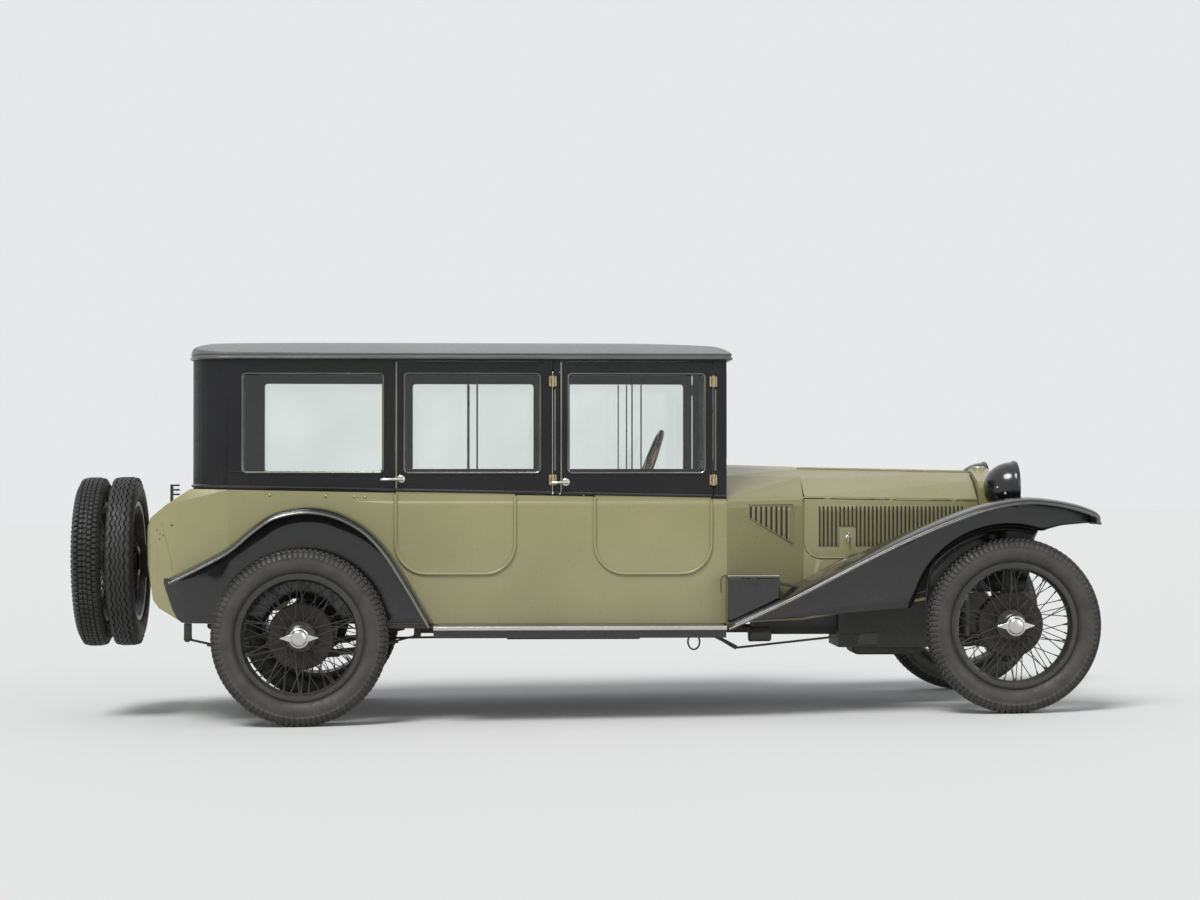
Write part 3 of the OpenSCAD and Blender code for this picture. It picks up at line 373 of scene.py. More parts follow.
finish("khaki_paint", (0.25, 0.235, 0.108), (0.31, 0.292, 0.14), (0.26, 0.4), cloud=1.6, grain=450,
       depth=0.0002, dust=0.16, sink=0.3, Coat_Weight=0.3, Coat_Roughness=0.25)
finish("black_paint", (0.004, 0.004, 0.005), (0.008, 0.008, 0.009), (0.14, 0.26), grain=300, depth=0.0002,
       dust=0.03, sink=0.07, Coat_Weight=0.4, Coat_Roughness=0.1)
# bead_paint is a painted highlight: its light metallic grey stands in for the reflections along black gloss
# beads, mouldings, wing edges and the roof lip.
finish("bead_paint", (0.12, 0.122, 0.105), (0.21, 0.212, 0.185), (0.16, 0.28), metallic=0.9, grain=220,
       depth=0.0001)
finish("wheel_paint", (0.009, 0.009, 0.009), (0.017, 0.017, 0.016), (0.26, 0.42), dust=0.06, sink=0.07,
       Coat_Weight=0.2, Coat_Roughness=0.2)
finish("black_leathercloth", (0.005, 0.005, 0.006), (0.01, 0.01, 0.011), (0.36, 0.52), grain=520,
       depth=0.0004, pattern="CELLS", dust=0.05, Specular_IOR_Level=0.28, Sheen_Weight=0.05,
       Sheen_Roughness=0.4)
# roof_cover is a black covering: its grey colour is a painted sheen, added to the real sheen that
# Sheen_Weight gives.
finish("roof_cover", (0.11, 0.12, 0.128), (0.17, 0.182, 0.19), (0.36, 0.55), cloud=1.2, grain=420,
       depth=0.0005, pattern="CELLS", dust=0.15, Sheen_Weight=0.35, Sheen_Roughness=0.35)
finish("nickel", (0.52, 0.5, 0.46), (0.66, 0.64, 0.6), (0.14, 0.26), metallic=1.0, grain=200,
       depth=0.0001, dust=0.12)
finish("brass", (0.36, 0.29, 0.16), (0.52, 0.43, 0.27), (0.28, 0.44), metallic=1.0, grain=260, depth=0.0002)
finish("radiator_metal", (0.02, 0.02, 0.02), (0.045, 0.044, 0.042), (0.4, 0.6), metallic=0.5, grain=140,
       depth=0.004, pattern="CELLS")
finish("engine_iron", (0.06, 0.06, 0.058), (0.11, 0.108, 0.1), (0.5, 0.7), metallic=0.3, grain=120,
       depth=0.001)
finish("chassis_iron", (0.012, 0.012, 0.011), (0.026, 0.025, 0.023), (0.42, 0.62), metallic=0.2, grain=160,
       depth=0.0006, dust=0.18, sink=0.1)
finish("drum_iron", (0.014, 0.012, 0.01), (0.034, 0.029, 0.024), (0.45, 0.65), metallic=0.2, grain=160,
       depth=0.0006, dust=0.1, sink=0.08)
finish("exhaust_steel", (0.075, 0.06, 0.05), (0.15, 0.115, 0.085), (0.45, 0.65), metallic=0.6, grain=90,
       depth=0.0006)
finish("floor_boards", (0.045, 0.036, 0.028), (0.085, 0.07, 0.055), (0.5, 0.7), grain=8, depth=0.003,
       pattern="BANDS")
finish("board_mat", (0.03, 0.03, 0.029), (0.06, 0.058, 0.052), (0.5, 0.7), grain=55, depth=0.002,
       pattern="BANDS", dust=0.35)
finish("dark_wood", (0.085, 0.034, 0.014), (0.19, 0.085, 0.036), (0.18, 0.32), cloud=14.0, grain=30,
       depth=0.0006, pattern="BANDS", Coat_Weight=0.6, Coat_Roughness=0.1)
finish("seat_leather", (0.08, 0.038, 0.018), (0.17, 0.085, 0.042), (0.32, 0.52), cloud=7.0, grain=380,
       depth=0.001, pattern="CELLS", Coat_Weight=0.15, Coat_Roughness=0.3)
finish("strap_leather", (0.06, 0.035, 0.02), (0.12, 0.075, 0.045), (0.4, 0.6), grain=380, depth=0.001,
       pattern="CELLS")
for rubber, dust, dust_axis in (("tyre_rubber", 0.1, "Y"), ("spare_rubber", 0.08, "X")):
    finish(rubber, (0.011, 0.011, 0.011), (0.021, 0.021, 0.02), (0.45, 0.7), cloud=12.0, grain=260,
           depth=0.0006, dust=dust, dust_axis=dust_axis)
# vent_dark is painted shade: the dark colour of the strips that stand in for the shaded openings behind the
# louvres.
finish("vent_dark", (0.01, 0.01, 0.008), (0.02, 0.019, 0.014), (0.6, 0.8), cloud=9.0)
finish("dial_face", (0.5, 0.48, 0.42), (0.62, 0.6, 0.54), (0.3, 0.4), cloud=30.0)
finish("lamp_glass", (0.42, 0.45, 0.45), (0.6, 0.63, 0.62), (0.08, 0.16), metallic=0.7, grain=26,
       depth=0.004, pattern="BANDS", Coat_Weight=1.0)
finish("window_glass", (0.86, 0.9, 0.88), (0.94, 0.97, 0.95), (0.0, 0.02), Transmission_Weight=1.0, IOR=1.45)

# ---- CAD nodes that keep their shape ----
for subpart in frame["record"]["subparts"]:
    node = frame["nodes"][subpart["node"]]
    node.data.materials.clear()
    node.data.materials.append(FINISHES[subpart["material_slot"]])
    weld = node.modifiers.new("weld", "WELD")
    weld.merge_threshold = 0.00002
    if subpart["material_slot"] not in ("window_glass", "lamp_glass"):
        soften(node, 0.0015)

# ---- wheels and tyres ----
RIM_R = 0.27
SEAT_R = 0.256
RIM_W = 0.1
DRUM_R = 0.145


def rim_shape():
    w = RIM_W / 2
    half = [(SEAT_R, w - 0.006), (RIM_R - 0.002, w - 0.006), (RIM_R, w - 0.004), (RIM_R, w - 0.001),
            (RIM_R - 0.003, w), (SEAT_R - 0.004, w - 0.002), (SEAT_R - 0.01, 0.022), (SEAT_R - 0.014, 0.014)]
    return Shape().lathe(half + [(r, -z) for r, z in reversed(half)], 96, ring=True)


def spoke_shape():
    """Sixty laced spokes: one row to the outer flange, two crossing rows to the inner flange."""
    shape = Shape()
    out = SEAT_R - 0.011
    # Number, radius and z at the hub, z at the rim, lean in degrees, first place.
    rows = ((20, 0.048, 0.022, 0.016, 26, 0.5), (40, 0.064, -0.041, -0.012, 46, 0.0))
    for count, hub_r, hub_z, rim_z, lean, phase in rows:
        for i in range(count):
            a = tau * (i + phase) / count
            way = 1 if i % 2 else -1
            turn = radians(lean) * way
            start = Vector((hub_r * cos(a), hub_r * sin(a), hub_z + 0.003 * way))
            end = Vector((out * cos(a + turn), out * sin(a + turn), rim_z))
            nipple = end + (start - end).normalized() * 0.016
            shape.tube([start, nipple], 0.0021, 6)
            shape.tube([nipple, end], 0.0036, 6)
    return shape


def hub_shape(inner):
    return Shape().lathe([(0.0251, 0.045), (0.044, 0.045), (0.046, 0.043), (0.046, 0.031), (0.052, 0.027),
                          (0.052, 0.018), (0.041, 0.013), (0.038, 0.0), (0.038, -0.028), (0.046, -0.033),
                          (0.066, -0.036), (0.066, -0.046), (0.042, -0.05), (0.04, -0.054), (0.04, inner),
                          (0.0251, inner)], 48, ring=True)


def cap_shape():
    """A two-eared knock-off nut."""
    shape = Shape().lathe([(0, 0.078), (0.018, 0.0775), (0.03, 0.075), (0.034, 0.071), (0.036, 0.066),
                           (0.043, 0.063), (0.046, 0.058), (0.046, 0.046), (0.043, 0.044), (0, 0.044)], 48)
    # An ear's sections: radius, half width, low and high z.
    ear = ((0.03, 0.021, 0.048, 0.07), (0.046, 0.017, 0.051, 0.069), (0.062, 0.0095, 0.055, 0.067),
           (0.076, 0.0045, 0.058, 0.065), (0.0825, 0.002, 0.06, 0.064))
    for s in (-1, 1):
        rows = [[(s * r, y * half, z) for y, z in ((-1, low), (1, low), (0.8, high), (-0.8, high))]
                for r, half, low, high in ear]
        first = len(shape.points)
        shape.grid(rows, around=True)
        shape.faces.append(tuple(first + len(rows) * 4 - 4 + k for k in range(4)))
    return shape


def drum_shape():
    profile = [(0.041, -0.052), (0.12, -0.052), (DRUM_R - 0.006, -0.053), (DRUM_R - 0.001, -0.058)]
    for k in range(3):
        z = -0.066 - 0.012 * k
        profile += [(DRUM_R - 0.003, z + 0.003), (DRUM_R, z + 0.001), (DRUM_R, z - 0.003),
                    (DRUM_R - 0.003, z - 0.005)]
    profile += [(DRUM_R, -0.1), (DRUM_R, -0.1039), (DRUM_R - 0.008, -0.1039), (DRUM_R - 0.008, -0.06),
                (0.041, -0.06)]
    return Shape().lathe(profile, 64, ring=True)


def tyre_shape(zigzag=False):
    """A balloon tyre with a block tread, or with zigzag ribs."""
    w = TYRE_W / 2
    bead = RIM_R + 0.0015
    mid = TYRE_R - 0.06
    wall = [(SEAT_R + 0.0004, RIM_W / 2 - 0.0065), (bead, RIM_W / 2 - 0.0065)]
    for t in range(-50, 49, 7):
        reach = (mid - bead) / sin(radians(60)) if t < 0 else 0.052 / sin(radians(50))
        ridge = 0.0012 if t in (-29, 20) else 0.0
        a = radians(t)
        wall.append((mid + reach * sin(a), (w - 0.0012) * cos(a) + ridge))
    lands = [(TYRE_R - d, z) for d, z in (
        (0.013, 0.0515), (0.006, 0.0475), (0.0025, 0.034), (0.002, 0.03), (0.0005, 0.026),
        (0, 0.012), (0, 0.01), (0, 0.0065), (0, 0.0))]
    groove = 0.0085
    steps = 96 * 4
    half = wall + lands
    profile = half + [(r, -z) for r, z in reversed(half[:-1])]
    rows = []
    for k in range(steps):
        c, s = cos(tau * k / steps), sin(tau * k / steps)
        row = []
        for r, z in profile:
            depth = 0.0
            if abs(z) in (0.03, 0.01):
                depth = groove
            elif r > TYRE_R - 0.0135 and abs(z) < 0.052:
                phase = (k + (2 if abs(z) < 0.028 else 0) + (1 if z < 0 else 0)) % 4
                depth = groove if phase == 0 and not zigzag else 0.0
            elif TYRE_R - 0.042 < r < TYRE_R - 0.0135 and k % 4 and not zigzag:
                z += copysign(0.0042, z)
            if zigzag and abs(z) < 0.049 and r > TYRE_R - 0.0085:
                z += 0.0035 * (1 if k // 4 % 2 else -1)
            row.append(((r - depth) * c, (r - depth) * s, z))
        rows.append(row)
    return Shape().grid(rows, around=True, along=True)


def add_wheel(prefix, body, place, wheel_node, tyre_node, spare=False, zigzag=False):
    """A wheel's separate pieces. wheel_node and tyre_node are the CAD nodes that they stand for."""
    rubber = "spare_rubber" if spare else "tyre_rubber"
    make(f"{prefix}_rim", rim_shape(), "wheel_paint", body, place, [wheel_node] if wheel_node else ())
    make(f"{prefix}_spokes", spoke_shape(), "wheel_paint", body, place)
    make(f"{prefix}_hub", hub_shape(-0.058 if spare else -0.096), "wheel_paint", body, place)
    make(f"{prefix}_casing", tyre_shape(zigzag), rubber, body, place,
         [tyre_node] if tyre_node else (), sharp=28)
    valve = Shape().tube([(SEAT_R - 0.012, 0.0, 0.02), (SEAT_R - 0.042, 0.0, 0.024)], 0.003, 8)
    make(f"{prefix}_valve", valve, "wheel_paint", body, place)
    if not spare:
        make(f"{prefix}_knock_off_cap", cap_shape(), "nickel", body, place, bevel=0.001, sharp=40)
        make(f"{prefix}_brake_drum", drum_shape(), "drum_iron", body, place)


for s, side in SIDES:
    for end, x, y in (("front", WHEELBASE, FRONT_Y), ("rear", 0.0, REAR_Y)):
        add_wheel(f"{end}_{side}", f"{end}_wheel_{side}", wheel_frame(x, y, s),
                  f"{end}_wheel_{side}", f"{end}_tyre_{side}")
SPARE_X = (-0.965, -0.82)
SPARE_Z = 0.702
for k, x in enumerate(SPARE_X):
    spot = GROUND @ turned((x, 0, SPARE_Z), -90)
    add_wheel(f"spare_{'outer' if k == 0 else 'inner'}", "root", spot, "spare_wheels" if k == 0 else None,
              "spare_tyres" if k == 0 else None, spare=True, zigzag=k == 1)
spare_cap = Shape().lathe([(0, 0.0), (0.03, 0.002), (0.044, 0.006), (0.048, 0.014), (0.048, 0.022),
                           (0, 0.022)], 32)
make("spare_clamp", spare_cap, "nickel", place=GROUND @ turned((-1.0285, 0, SPARE_Z), 90))

# ---- wings ----
REAR_WING = smooth_path([(-0.56, 0.64), (-0.43, 0.704), (-0.31, 0.771), (-0.205, 0.858),
                         (-0.115, 0.916), (0.0, 0.942), (0.107, 0.937), (0.205, 0.905), (0.3, 0.845),
                         (0.385, 0.752), (0.47, 0.62), (BOARD_X[0], 0.44)])
WING_RUN = ((0.0, 0.44), (0.21, 0.563), (0.447, 0.716), (0.645, 0.836), (0.826, 0.928), (0.937, 0.968))
FRONT_WING = smooth_path([(between(BOARD_X[1], 3.1, k), z) for k, z in WING_RUN]
                         + [(3.145, 0.984), (3.25, 0.977), (3.34, 0.961), (3.4, 0.944), (3.44, 0.928)])
FRONT_TIP = [Vector(p) for p in ((3.453, 0.92), (3.463, 0.908), (3.4675, 0.894), (3.4675, 0.88),
                                 (3.465, 0.87))]
# Across a wing from its inner edge to its outer one: share of the width, and the drop below the crown.
WING_SECTION = ((0.0, 0.014), (0.08, 0.008), (0.25, 0.002), (0.45, 0.0), (0.7, 0.002), (0.86, 0.007),
                (0.94, 0.013), (0.98, 0.021))
EDGE_DROP = 0.024
EDGE_R = 0.006


def path_normals(path):
    out = []
    for i in range(len(path)):
        ahead = (path[min(i + 1, len(path) - 1)] - path[max(i - 1, 0)]).normalized()
        out.append(Vector((-ahead.y, ahead.x)))
    return out


def front_wing_inner(x):
    return through([(SCREEN_X, BODY_Y + 0.001), (2.218, 0.3465), (2.3, 0.3363), (2.5, 0.48),
                    (2.7, 0.575), (3.3, 0.575), (3.47, 0.59)], x)


def wing_sheet(path, inner, side):
    rows = []
    for p, n in zip(path, path_normals(path)):
        y0, y1 = inner(p.x), WING_Y - EDGE_R
        rows.append([(p.x - n.x * d, side * between(y0, y1, k), p.y - n.y * d) for k, d in WING_SECTION])
    return Shape().grid(rows)


def edge_bead(path, side):
    return Shape().tube([(p.x - n.x * EDGE_DROP, side * (WING_Y - EDGE_R), p.y - n.y * EDGE_DROP)
                         for p, n in zip(path, path_normals(path))], EDGE_R, 10)


def add_wing(end, path, inner, s, side):
    make(f"{end}_wing_{side}", wing_sheet(path, inner, s), "black_paint",
         stands_for=[f"{end}_wings"] if s < 0 else (), solid=0.003)
    make(f"{end}_wing_edge_{side}", edge_bead(path, s), "bead_paint")


def wall_sheet(stations, side):
    """An upright sheet through (x, y, low, high) stations."""
    rows = [[(x, side * y, between(low, high, k / 6)) for k in range(7)] for x, y, low, high in stations]
    return Shape().grid(rows)


def path_height(path, x):
    return through([(p.x, p.y) for p in path], x)


HUB_Z = TYRE_R + WHEELBASE * sin(RAKE)
APRON_R = 0.432


def apron(x):
    """A station of the plate that closes the front wing's inner side, down to the frame and the wheel."""
    y = through([(1.9, 0.603), (2.3, 0.595), (2.7, 0.578), (3.3, 0.578), (3.47, 0.59)], x)
    top = path_height(FRONT_WING + FRONT_TIP, x) - 0.012
    low = through([(1.9, 0.44), (2.3, 0.47), (2.69, 0.5)], x)
    if abs(x - WHEELBASE) < APRON_R - 0.004:
        low = HUB_Z + sqrt(APRON_R ** 2 - (x - WHEELBASE) ** 2)
    if x > WHEELBASE:
        low = max(low, through([(3.1, 0.835), (3.19, 0.815), (3.223, 0.824), (3.272, 0.844),
                                (3.33, 0.86), (3.395, 0.866), (3.47, 0.872)], x))
    return x, y, min(low, top - 0.004), top


def inner_apron(x, side):
    """A row of the plate from the apron's lower edge in towards the frame. At full lock the tyre meets it."""
    _, y, low, _ = apron(x)
    return [(x, side * y, low), (x, side * 0.5, low - 0.035), (x, side * 0.43, low - 0.1),
            (x, side * 0.385, low - 0.19), (x, side * 0.38, min(0.56, low - 0.2))]


for s, side in SIDES:
    add_wing("front", FRONT_WING + FRONT_TIP, front_wing_inner, s, side)
    tip = Shape().tube([(3.456, s * y, 0.872) for y in (0.592, 0.65, 0.72, 0.794)], EDGE_R, 10)
    make(f"front_wing_tip_edge_{side}", tip, "bead_paint")
    xs = [between(1.86, 2.96, k / 40) for k in range(41)]
    skin = [(x, body_side(x) + 0.003, through([(1.834, 0.436), (2.218, 0.445), (2.96, 0.56)], x),
             path_height(FRONT_WING, x) - 0.01 if x < 2.45 else
             through([(2.45, path_height(FRONT_WING, 2.45) - 0.01), (2.96, 0.69)], x)) for x in xs]
    make(f"front_wing_skin_{side}", wall_sheet(skin, s), "black_paint", solid=0.003)
    shelf = Shape().grid([inner_apron(between(2.76, 3.23, k / 30), s) for k in range(31)])
    make(f"front_wing_inner_apron_{side}", shelf, "black_paint", solid=0.003)
    make(f"front_wing_apron_{side}", wall_sheet([apron(between(1.9, 3.462, k / 90)) for k in range(91)], s),
         "black_paint", solid=0.003)

    add_wing("rear", REAR_WING, lambda x: body_side(x) + 0.001, s, side)
    xs = [between(-0.604, 0.56, k / 58) for k in range(59)]
    skin = [(x, body_side(x) + 0.004,
             TYRE_R + sqrt(0.165 ** 2 - x * x) if abs(x) < 0.155 else
             through([(-0.604, 0.606), (-0.56, 0.48), (-0.53, 0.4375), (0.0, 0.437)], x),
             path_height(REAR_WING, x) - 0.01) for x in xs]
    skin = [(x, y, min(low, high - 0.004), high) for x, y, low, high in skin]
    make(f"rear_wing_skin_{side}", wall_sheet(skin, s), "black_paint", solid=0.002)

# ---- running boards and toolboxes ----
for s, side in SIDES:
    x0, x1 = BOARD_X[0], BOARD_X[1] - 0.0003
    low, top = SILL_Z - 0.022, SILL_Z - 0.0033
    board = Shape().prism([(x0, low), (x1, low), (x1, top), (x0, top)],
                          s * (BODY_Y + 0.0003), s * (WING_Y - 0.01))
    board.prism([(x0, SILL_Z - 0.054), (x1, SILL_Z - 0.054), (x1, low), (x0, low)], s * 0.766, s * 0.772)
    make(f"running_board_{side}", board, "black_paint", bevel=0.001,
         stands_for=["running_boards"] if s < 0 else ())
    section = ((0.018, 0.001), (0.01, 0.0032), (0.003, 0.002), (0, -0.003), (0, -0.011), (0.002, -0.015),
               (0.011, -0.015), (0.011, -0.001))
    rows = [[(x, s * (WING_Y - y), top + z) for y, z in section] for x in (x0, x1)]
    nosing = Shape().grid(rows, around=True)
    nosing.faces += [tuple(range(8)), tuple(range(8, 16))]
    make(f"running_board_nosing_{side}", nosing, "nickel", sharp=50)
    mat = Shape().block((x0 + 0.017, s * (BODY_Y + 0.017), top),
                        (x1 - 0.017, s * (WING_Y - 0.02), SILL_Z - 0.0003))
    make(f"running_board_mat_{side}", mat, "board_mat", bevel=0.001)
    foot = [(x, path_height(FRONT_WING, x) + 0.0005) for x in (2.07, 2.01, 1.95, 1.9, 1.845)]
    box_y = (BODY_Y + 0.006, BODY_Y + 0.126)
    box = Shape().prism([(1.845, 0.636), (2.07, 0.636)] + foot, s * box_y[0], s * box_y[1])
    make(f"toolbox_{side}", box, "black_paint", bevel=0.004)
    lid = Shape().block((1.843, s * (box_y[0] - 0.002), 0.636), (2.072, s * (box_y[1] + 0.003), 0.648))
    make(f"toolbox_lid_{side}", lid, "bead_paint", bevel=0.003)
    strip = Shape().tube([(x, s * (box_y[1] + 0.003), 0.6465) for x in (1.848, 2.067)], 0.0022, 8)
    make(f"toolbox_strip_{side}", strip, "nickel")
    line = smooth_path([(1.842, 0.646), (1.826, 0.642), (1.818, 0.62), (1.82, 0.572)], 4)
    strap = Shape().grid([[(p.x, s * y, p.y) for y in (0.672, 0.684, 0.696)] for p in line])
    make(f"toolbox_strap_{side}", strap, "strap_leather", solid=0.003)
    clasp = Shape().prism(rounded(1.94, 1.972, 0.604, 0.638, 0.004),
                          s * (box_y[1] + 0.0005), s * (box_y[1] + 0.005))
    make(f"toolbox_clasp_{side}", clasp, "black_paint", bevel=0.001)
    ledge = Shape().prism([(2.07, 0.603), (2.2, 0.58), (2.2, 0.59), (2.07, 0.618)],
                          s * (BODY_Y - 0.15), s * 0.64)
    make(f"wing_ledge_{side}", ledge, "black_paint", bevel=0.002)

# ---- beads, mouldings, windows and door furniture ----
RAIL_RISE = 0.014
RAIL_R = 0.0075


def side_bar(line, side, surface, out, r, sides=8, closed=False):
    """A round bar along (x, z) points laid on the car's side, moved out."""
    return Shape().tube([(x, side * (surface(x) + out), z) for x, z in line], r, sides, closed)


def window_bead(x0, x1, side, margin):
    outline = rounded(x0 - margin, x1 + margin, WINDOW_Z[0] - margin, WINDOW_Z[1] + margin, 0.018)
    return side_bar(outline, side, cabin_side, 0.001, 0.005, closed=True)


def waist_bar(x0, x1, side):
    return side_bar([(x, waist(x) + RAIL_RISE) for x in (x0, x1)], side, cabin_side, 0.0015, RAIL_R, 10)


def hinge_leaf(x, z, side, way, barrels):
    """A hinge's leaf, in front of its pin or behind it, with its barrels and screws."""
    leaf = Shape().block((x + 0.011 * way - 0.005, side * (CABIN_Y + 0.0032), z - 0.022),
                         (x + 0.011 * way + 0.005, side * (CABIN_Y + 0.0046), z + 0.022))
    for low, high in barrels:
        leaf.tube([(x, side * (CABIN_Y + 0.008), z + end) for end in (low, high)], 0.0076, 20)
    for dz in (-0.016, 0.0, 0.016):
        leaf.disc((x + 0.012 * way, side * (CABIN_Y + 0.0046), z + dz), (0, side, 0), 0.0032, 0.0014, 10)
    return leaf


def shoulder(x, z):
    """Half width of the lower body at height z: it turns in a little at the top."""
    if z <= 0.95:
        return body_side(x)
    turn = 0.578 + sqrt(max(0.03 ** 2 - min(z - 0.95, 0.0172) ** 2, 0.0))
    return min(body_side(x), turn - max(0.0, z - 0.967) * 0.024)


for s, side in SIDES:
    for end, door in DOORS.items():
        body = f"{end}_door_{side}"
        r = DOOR_R
        line = ([(door[0], waist(door[0]) - 0.004), (door[0], 0.93), (door[0], 0.86)]
                + arc(door[0] + r, DOOR_Z + r, r, 180, 270, 8) + arc(door[1] - r, DOOR_Z + r, r, 270, 360, 8)
                + [(door[1], 0.86), (door[1], 0.93), (door[1], waist(door[1]) - 0.004)])
        bead = Shape().tube([(x, s * (shoulder(x, z) + 0.0025), z) for x, z in line], 0.0072, 12)
        make(f"{end}_door_bead_{side}", bead, "khaki_paint", body)
        make(f"{end}_window_moulding_{side}", window_bead(door[4], door[5], s, 0.007), "bead_paint", body)
        edge = side_bar([(door[2] + 0.001, z) for z in (waist(door[2]) + 0.012, 1.3, FRAME_TOP)],
                        s, cabin_side, 0.001, 0.005)
        make(f"{end}_door_edge_{side}", edge, "bead_paint", body)
        post = side_bar([(door[3] + 0.012, z) for z in (1.1, 1.3, 1.455)], s, cabin_side, 0.001, 0.0045)
        make(f"{end}_post_bead_{side}", post, "bead_paint")
        make(f"{end}_door_rail_{side}", waist_bar(door[2] + 0.002, door[3] - 0.002, s), "black_paint", body)
        # Two sliding panes overlap in the middle of each door window.
        centre = (door[4] + door[5]) / 2
        stiles = Shape()
        for x, depth in ((centre - 0.02, 0.006), (centre + 0.02, -0.002)):
            y = CABIN_Y - 0.017 + depth
            stiles.block((x - 0.003, s * (y - 0.002), WINDOW_Z[0] + 0.002),
                         (x + 0.003, s * (y + 0.002), WINDOW_Z[1] - 0.002))
        stiles.block((door[4] + 0.004, s * (CABIN_Y - 0.026), WINDOW_Z[0]),
                     (door[5] - 0.004, s * (CABIN_Y - 0.006), WINDOW_Z[0] + 0.01))
        make(f"{end}_window_stiles_{side}", stiles, "black_paint", body, bevel=0.0008)
        # Lever handle: a boss by the rear edge, and a lever that reaches back over the gap.
        hx, hz = door[2] + 0.022, waist(door[2]) + 0.06
        handle = Shape().disc((hx, s * CABIN_Y, hz), (0, s, 0), 0.019, 0.007)
        handle.tube([(hx, s * (CABIN_Y + 0.002), hz), (hx, s * (CABIN_Y + 0.026), hz)], 0.0075, 12)
        reach = 0.066 if end == "front" else 0.088
        lever = ((-0.01, 0.026, 0), (0.01, 0.028, 0), (0.5 * reach, 0.03, 0.001),
                 (0.85 * reach, 0.029, 0.002), (reach, 0.025, 0.003))
        handle.tube([(hx - back, s * (CABIN_Y + out), hz - down) for back, out, down in lever],
                    [0.008, 0.0078, 0.0066, 0.0074, 0.0056], 12)
        make(f"{end}_door_handle_{side}", handle, "nickel", body)
        for k, z in enumerate(HINGE_Z):
            fixed = hinge_leaf(door[3] + 0.003, z, s, 1, ((-0.0245, -0.009), (0.009, 0.0245)))
            make(f"{end}_hinge_fixed_{k}_{side}", fixed, "brass", sharp=40)
            moving = hinge_leaf(door[3] + 0.003, z, s, -1, ((-0.0084, 0.0084),))
            make(f"{end}_hinge_moving_{k}_{side}", moving, "brass", body, sharp=40)
    make(f"quarter_window_moulding_{side}", window_bead(*QUARTER, s, 0.006), "bead_paint")
    for k, (x0, x1) in enumerate(((1.096, 1.118), (1.798, 1.85))):
        make(f"waist_rail_{k}_{side}", waist_bar(x0, x1, s), "black_paint")
    studs = Shape()
    for x in (-0.138, 0.105, 0.227, 0.275):
        z = waist(x) - 0.02
        studs.disc((x, s * shoulder(x, z), z), (0, s, 0), 0.0065, 0.004, 14)
    make(f"hood_studs_{side}", studs, "brass")
    seam = side_bar(smooth_path([(-0.618, 0.874), (-0.594, 0.79), (-0.566, 0.668)], 4),
                    s, body_side, 0.0008, 0.0022)
    make(f"tail_seam_{side}", seam, "khaki_paint")
corner = [(x, cabin_side(x) + 0.0015) for x in (0.402, 0.1)] + arc(-0.317, 0.408, 0.1715, 90, 180, 10)
ring = corner + [(x, -y) for x, y in reversed(corner)]
rail = Shape().tube([(x, y, waist(x) + RAIL_RISE) for x, y in ring], RAIL_R, 10)
make("waist_rail_back", rail, "black_paint")


def pane_rim(x, half, z0, z1, r):
    """A round rim about a pane that faces along X."""
    return Shape().tube([(x, y, z) for y, z in rounded(-half, half, z0, z1, 0.036)], r, 8, closed=True)


make("back_window_moulding", pane_rim(CABIN_BACK - 0.001, 0.256, 1.174, 1.466, 0.005), "bead_paint")
screen_rim = pane_rim(SCREEN_X + 0.0015, 0.536, 1.144, 1.551, 0.006)
screen_rim.tube([(SCREEN_X - 0.002, y, 1.372) for y in (-0.53, 0.0, 0.53)], 0.006, 10)
make("windscreen_frame", screen_rim, "nickel")

# ---- roof edge ----
lip = arc(SCREEN_X + 0.024 - 0.04, CABIN_Y + 0.008 - 0.04, 0.0405, 0, 90, 5) + [(TAPER_X, CABIN_Y + 0.0085)]
lip += arc(-0.317, 0.408, 0.1785, 90, 180, 10)
loop = lip + [(x, -y) for x, y in reversed(lip)]
for name, z, r in (("roof_gutter", ROOF_Z + 0.006, 0.0065), ("roof_welt", ROOF_Z + 0.024, 0.0035)):
    make(name, Shape().tube([(x, y, z) for x, y in loop], r, 8, closed=True), "bead_paint")

# ---- bonnet, scuttle vents and lamps ----
LOUVRE_TOP = 0.946


def add_louvres(names, body, places, s, side, width, height, gap, back):
    """Upright louvres pressed out of the side, closed in front, each with a strip of painted shade behind it
    for its opening.

    places are (x, low end). gap is an opening's width, which is also its painted-shade strip's width, and
    back how far behind its louvre the strip starts.
    """
    louvres, shade_strips = Shape(), Shape()
    for x, low in places:
        rows = []
        for k in range(13):
            z = between(low, LOUVRE_TOP, k / 12)
            rise = sin(min(1.0, min(z - low, LOUVRE_TOP - z) / 0.012) * pi / 2) * height
            rows.append([(x, s * (body_side(x) + 0.0002), z),
                         (x - 0.4 * width, s * (body_side(x) + 0.7 * rise), z),
                         (x - 0.85 * width, s * (body_side(x) + rise + 0.0004), z),
                         (x - width, s * (body_side(x) + rise * 0.85 + 0.0003), z),
                         (x - width, s * (body_side(x - width) - 0.0005), z)])
        louvres.grid(rows)
        # A dark strip laid on the surface behind each louvre is painted shade for its opening.
        near = x - width - back
        shade_strips.grid([[(at, s * (body_side(at) + 0.0006), z) for z in (low + 0.004, LOUVRE_TOP - 0.004)]
                   for at in (near - gap, near)])
    make(f"{names[0]}_{side}", louvres, "khaki_paint", body)
    make(f"{names[1]}_{side}", shade_strips, "vent_dark", body)


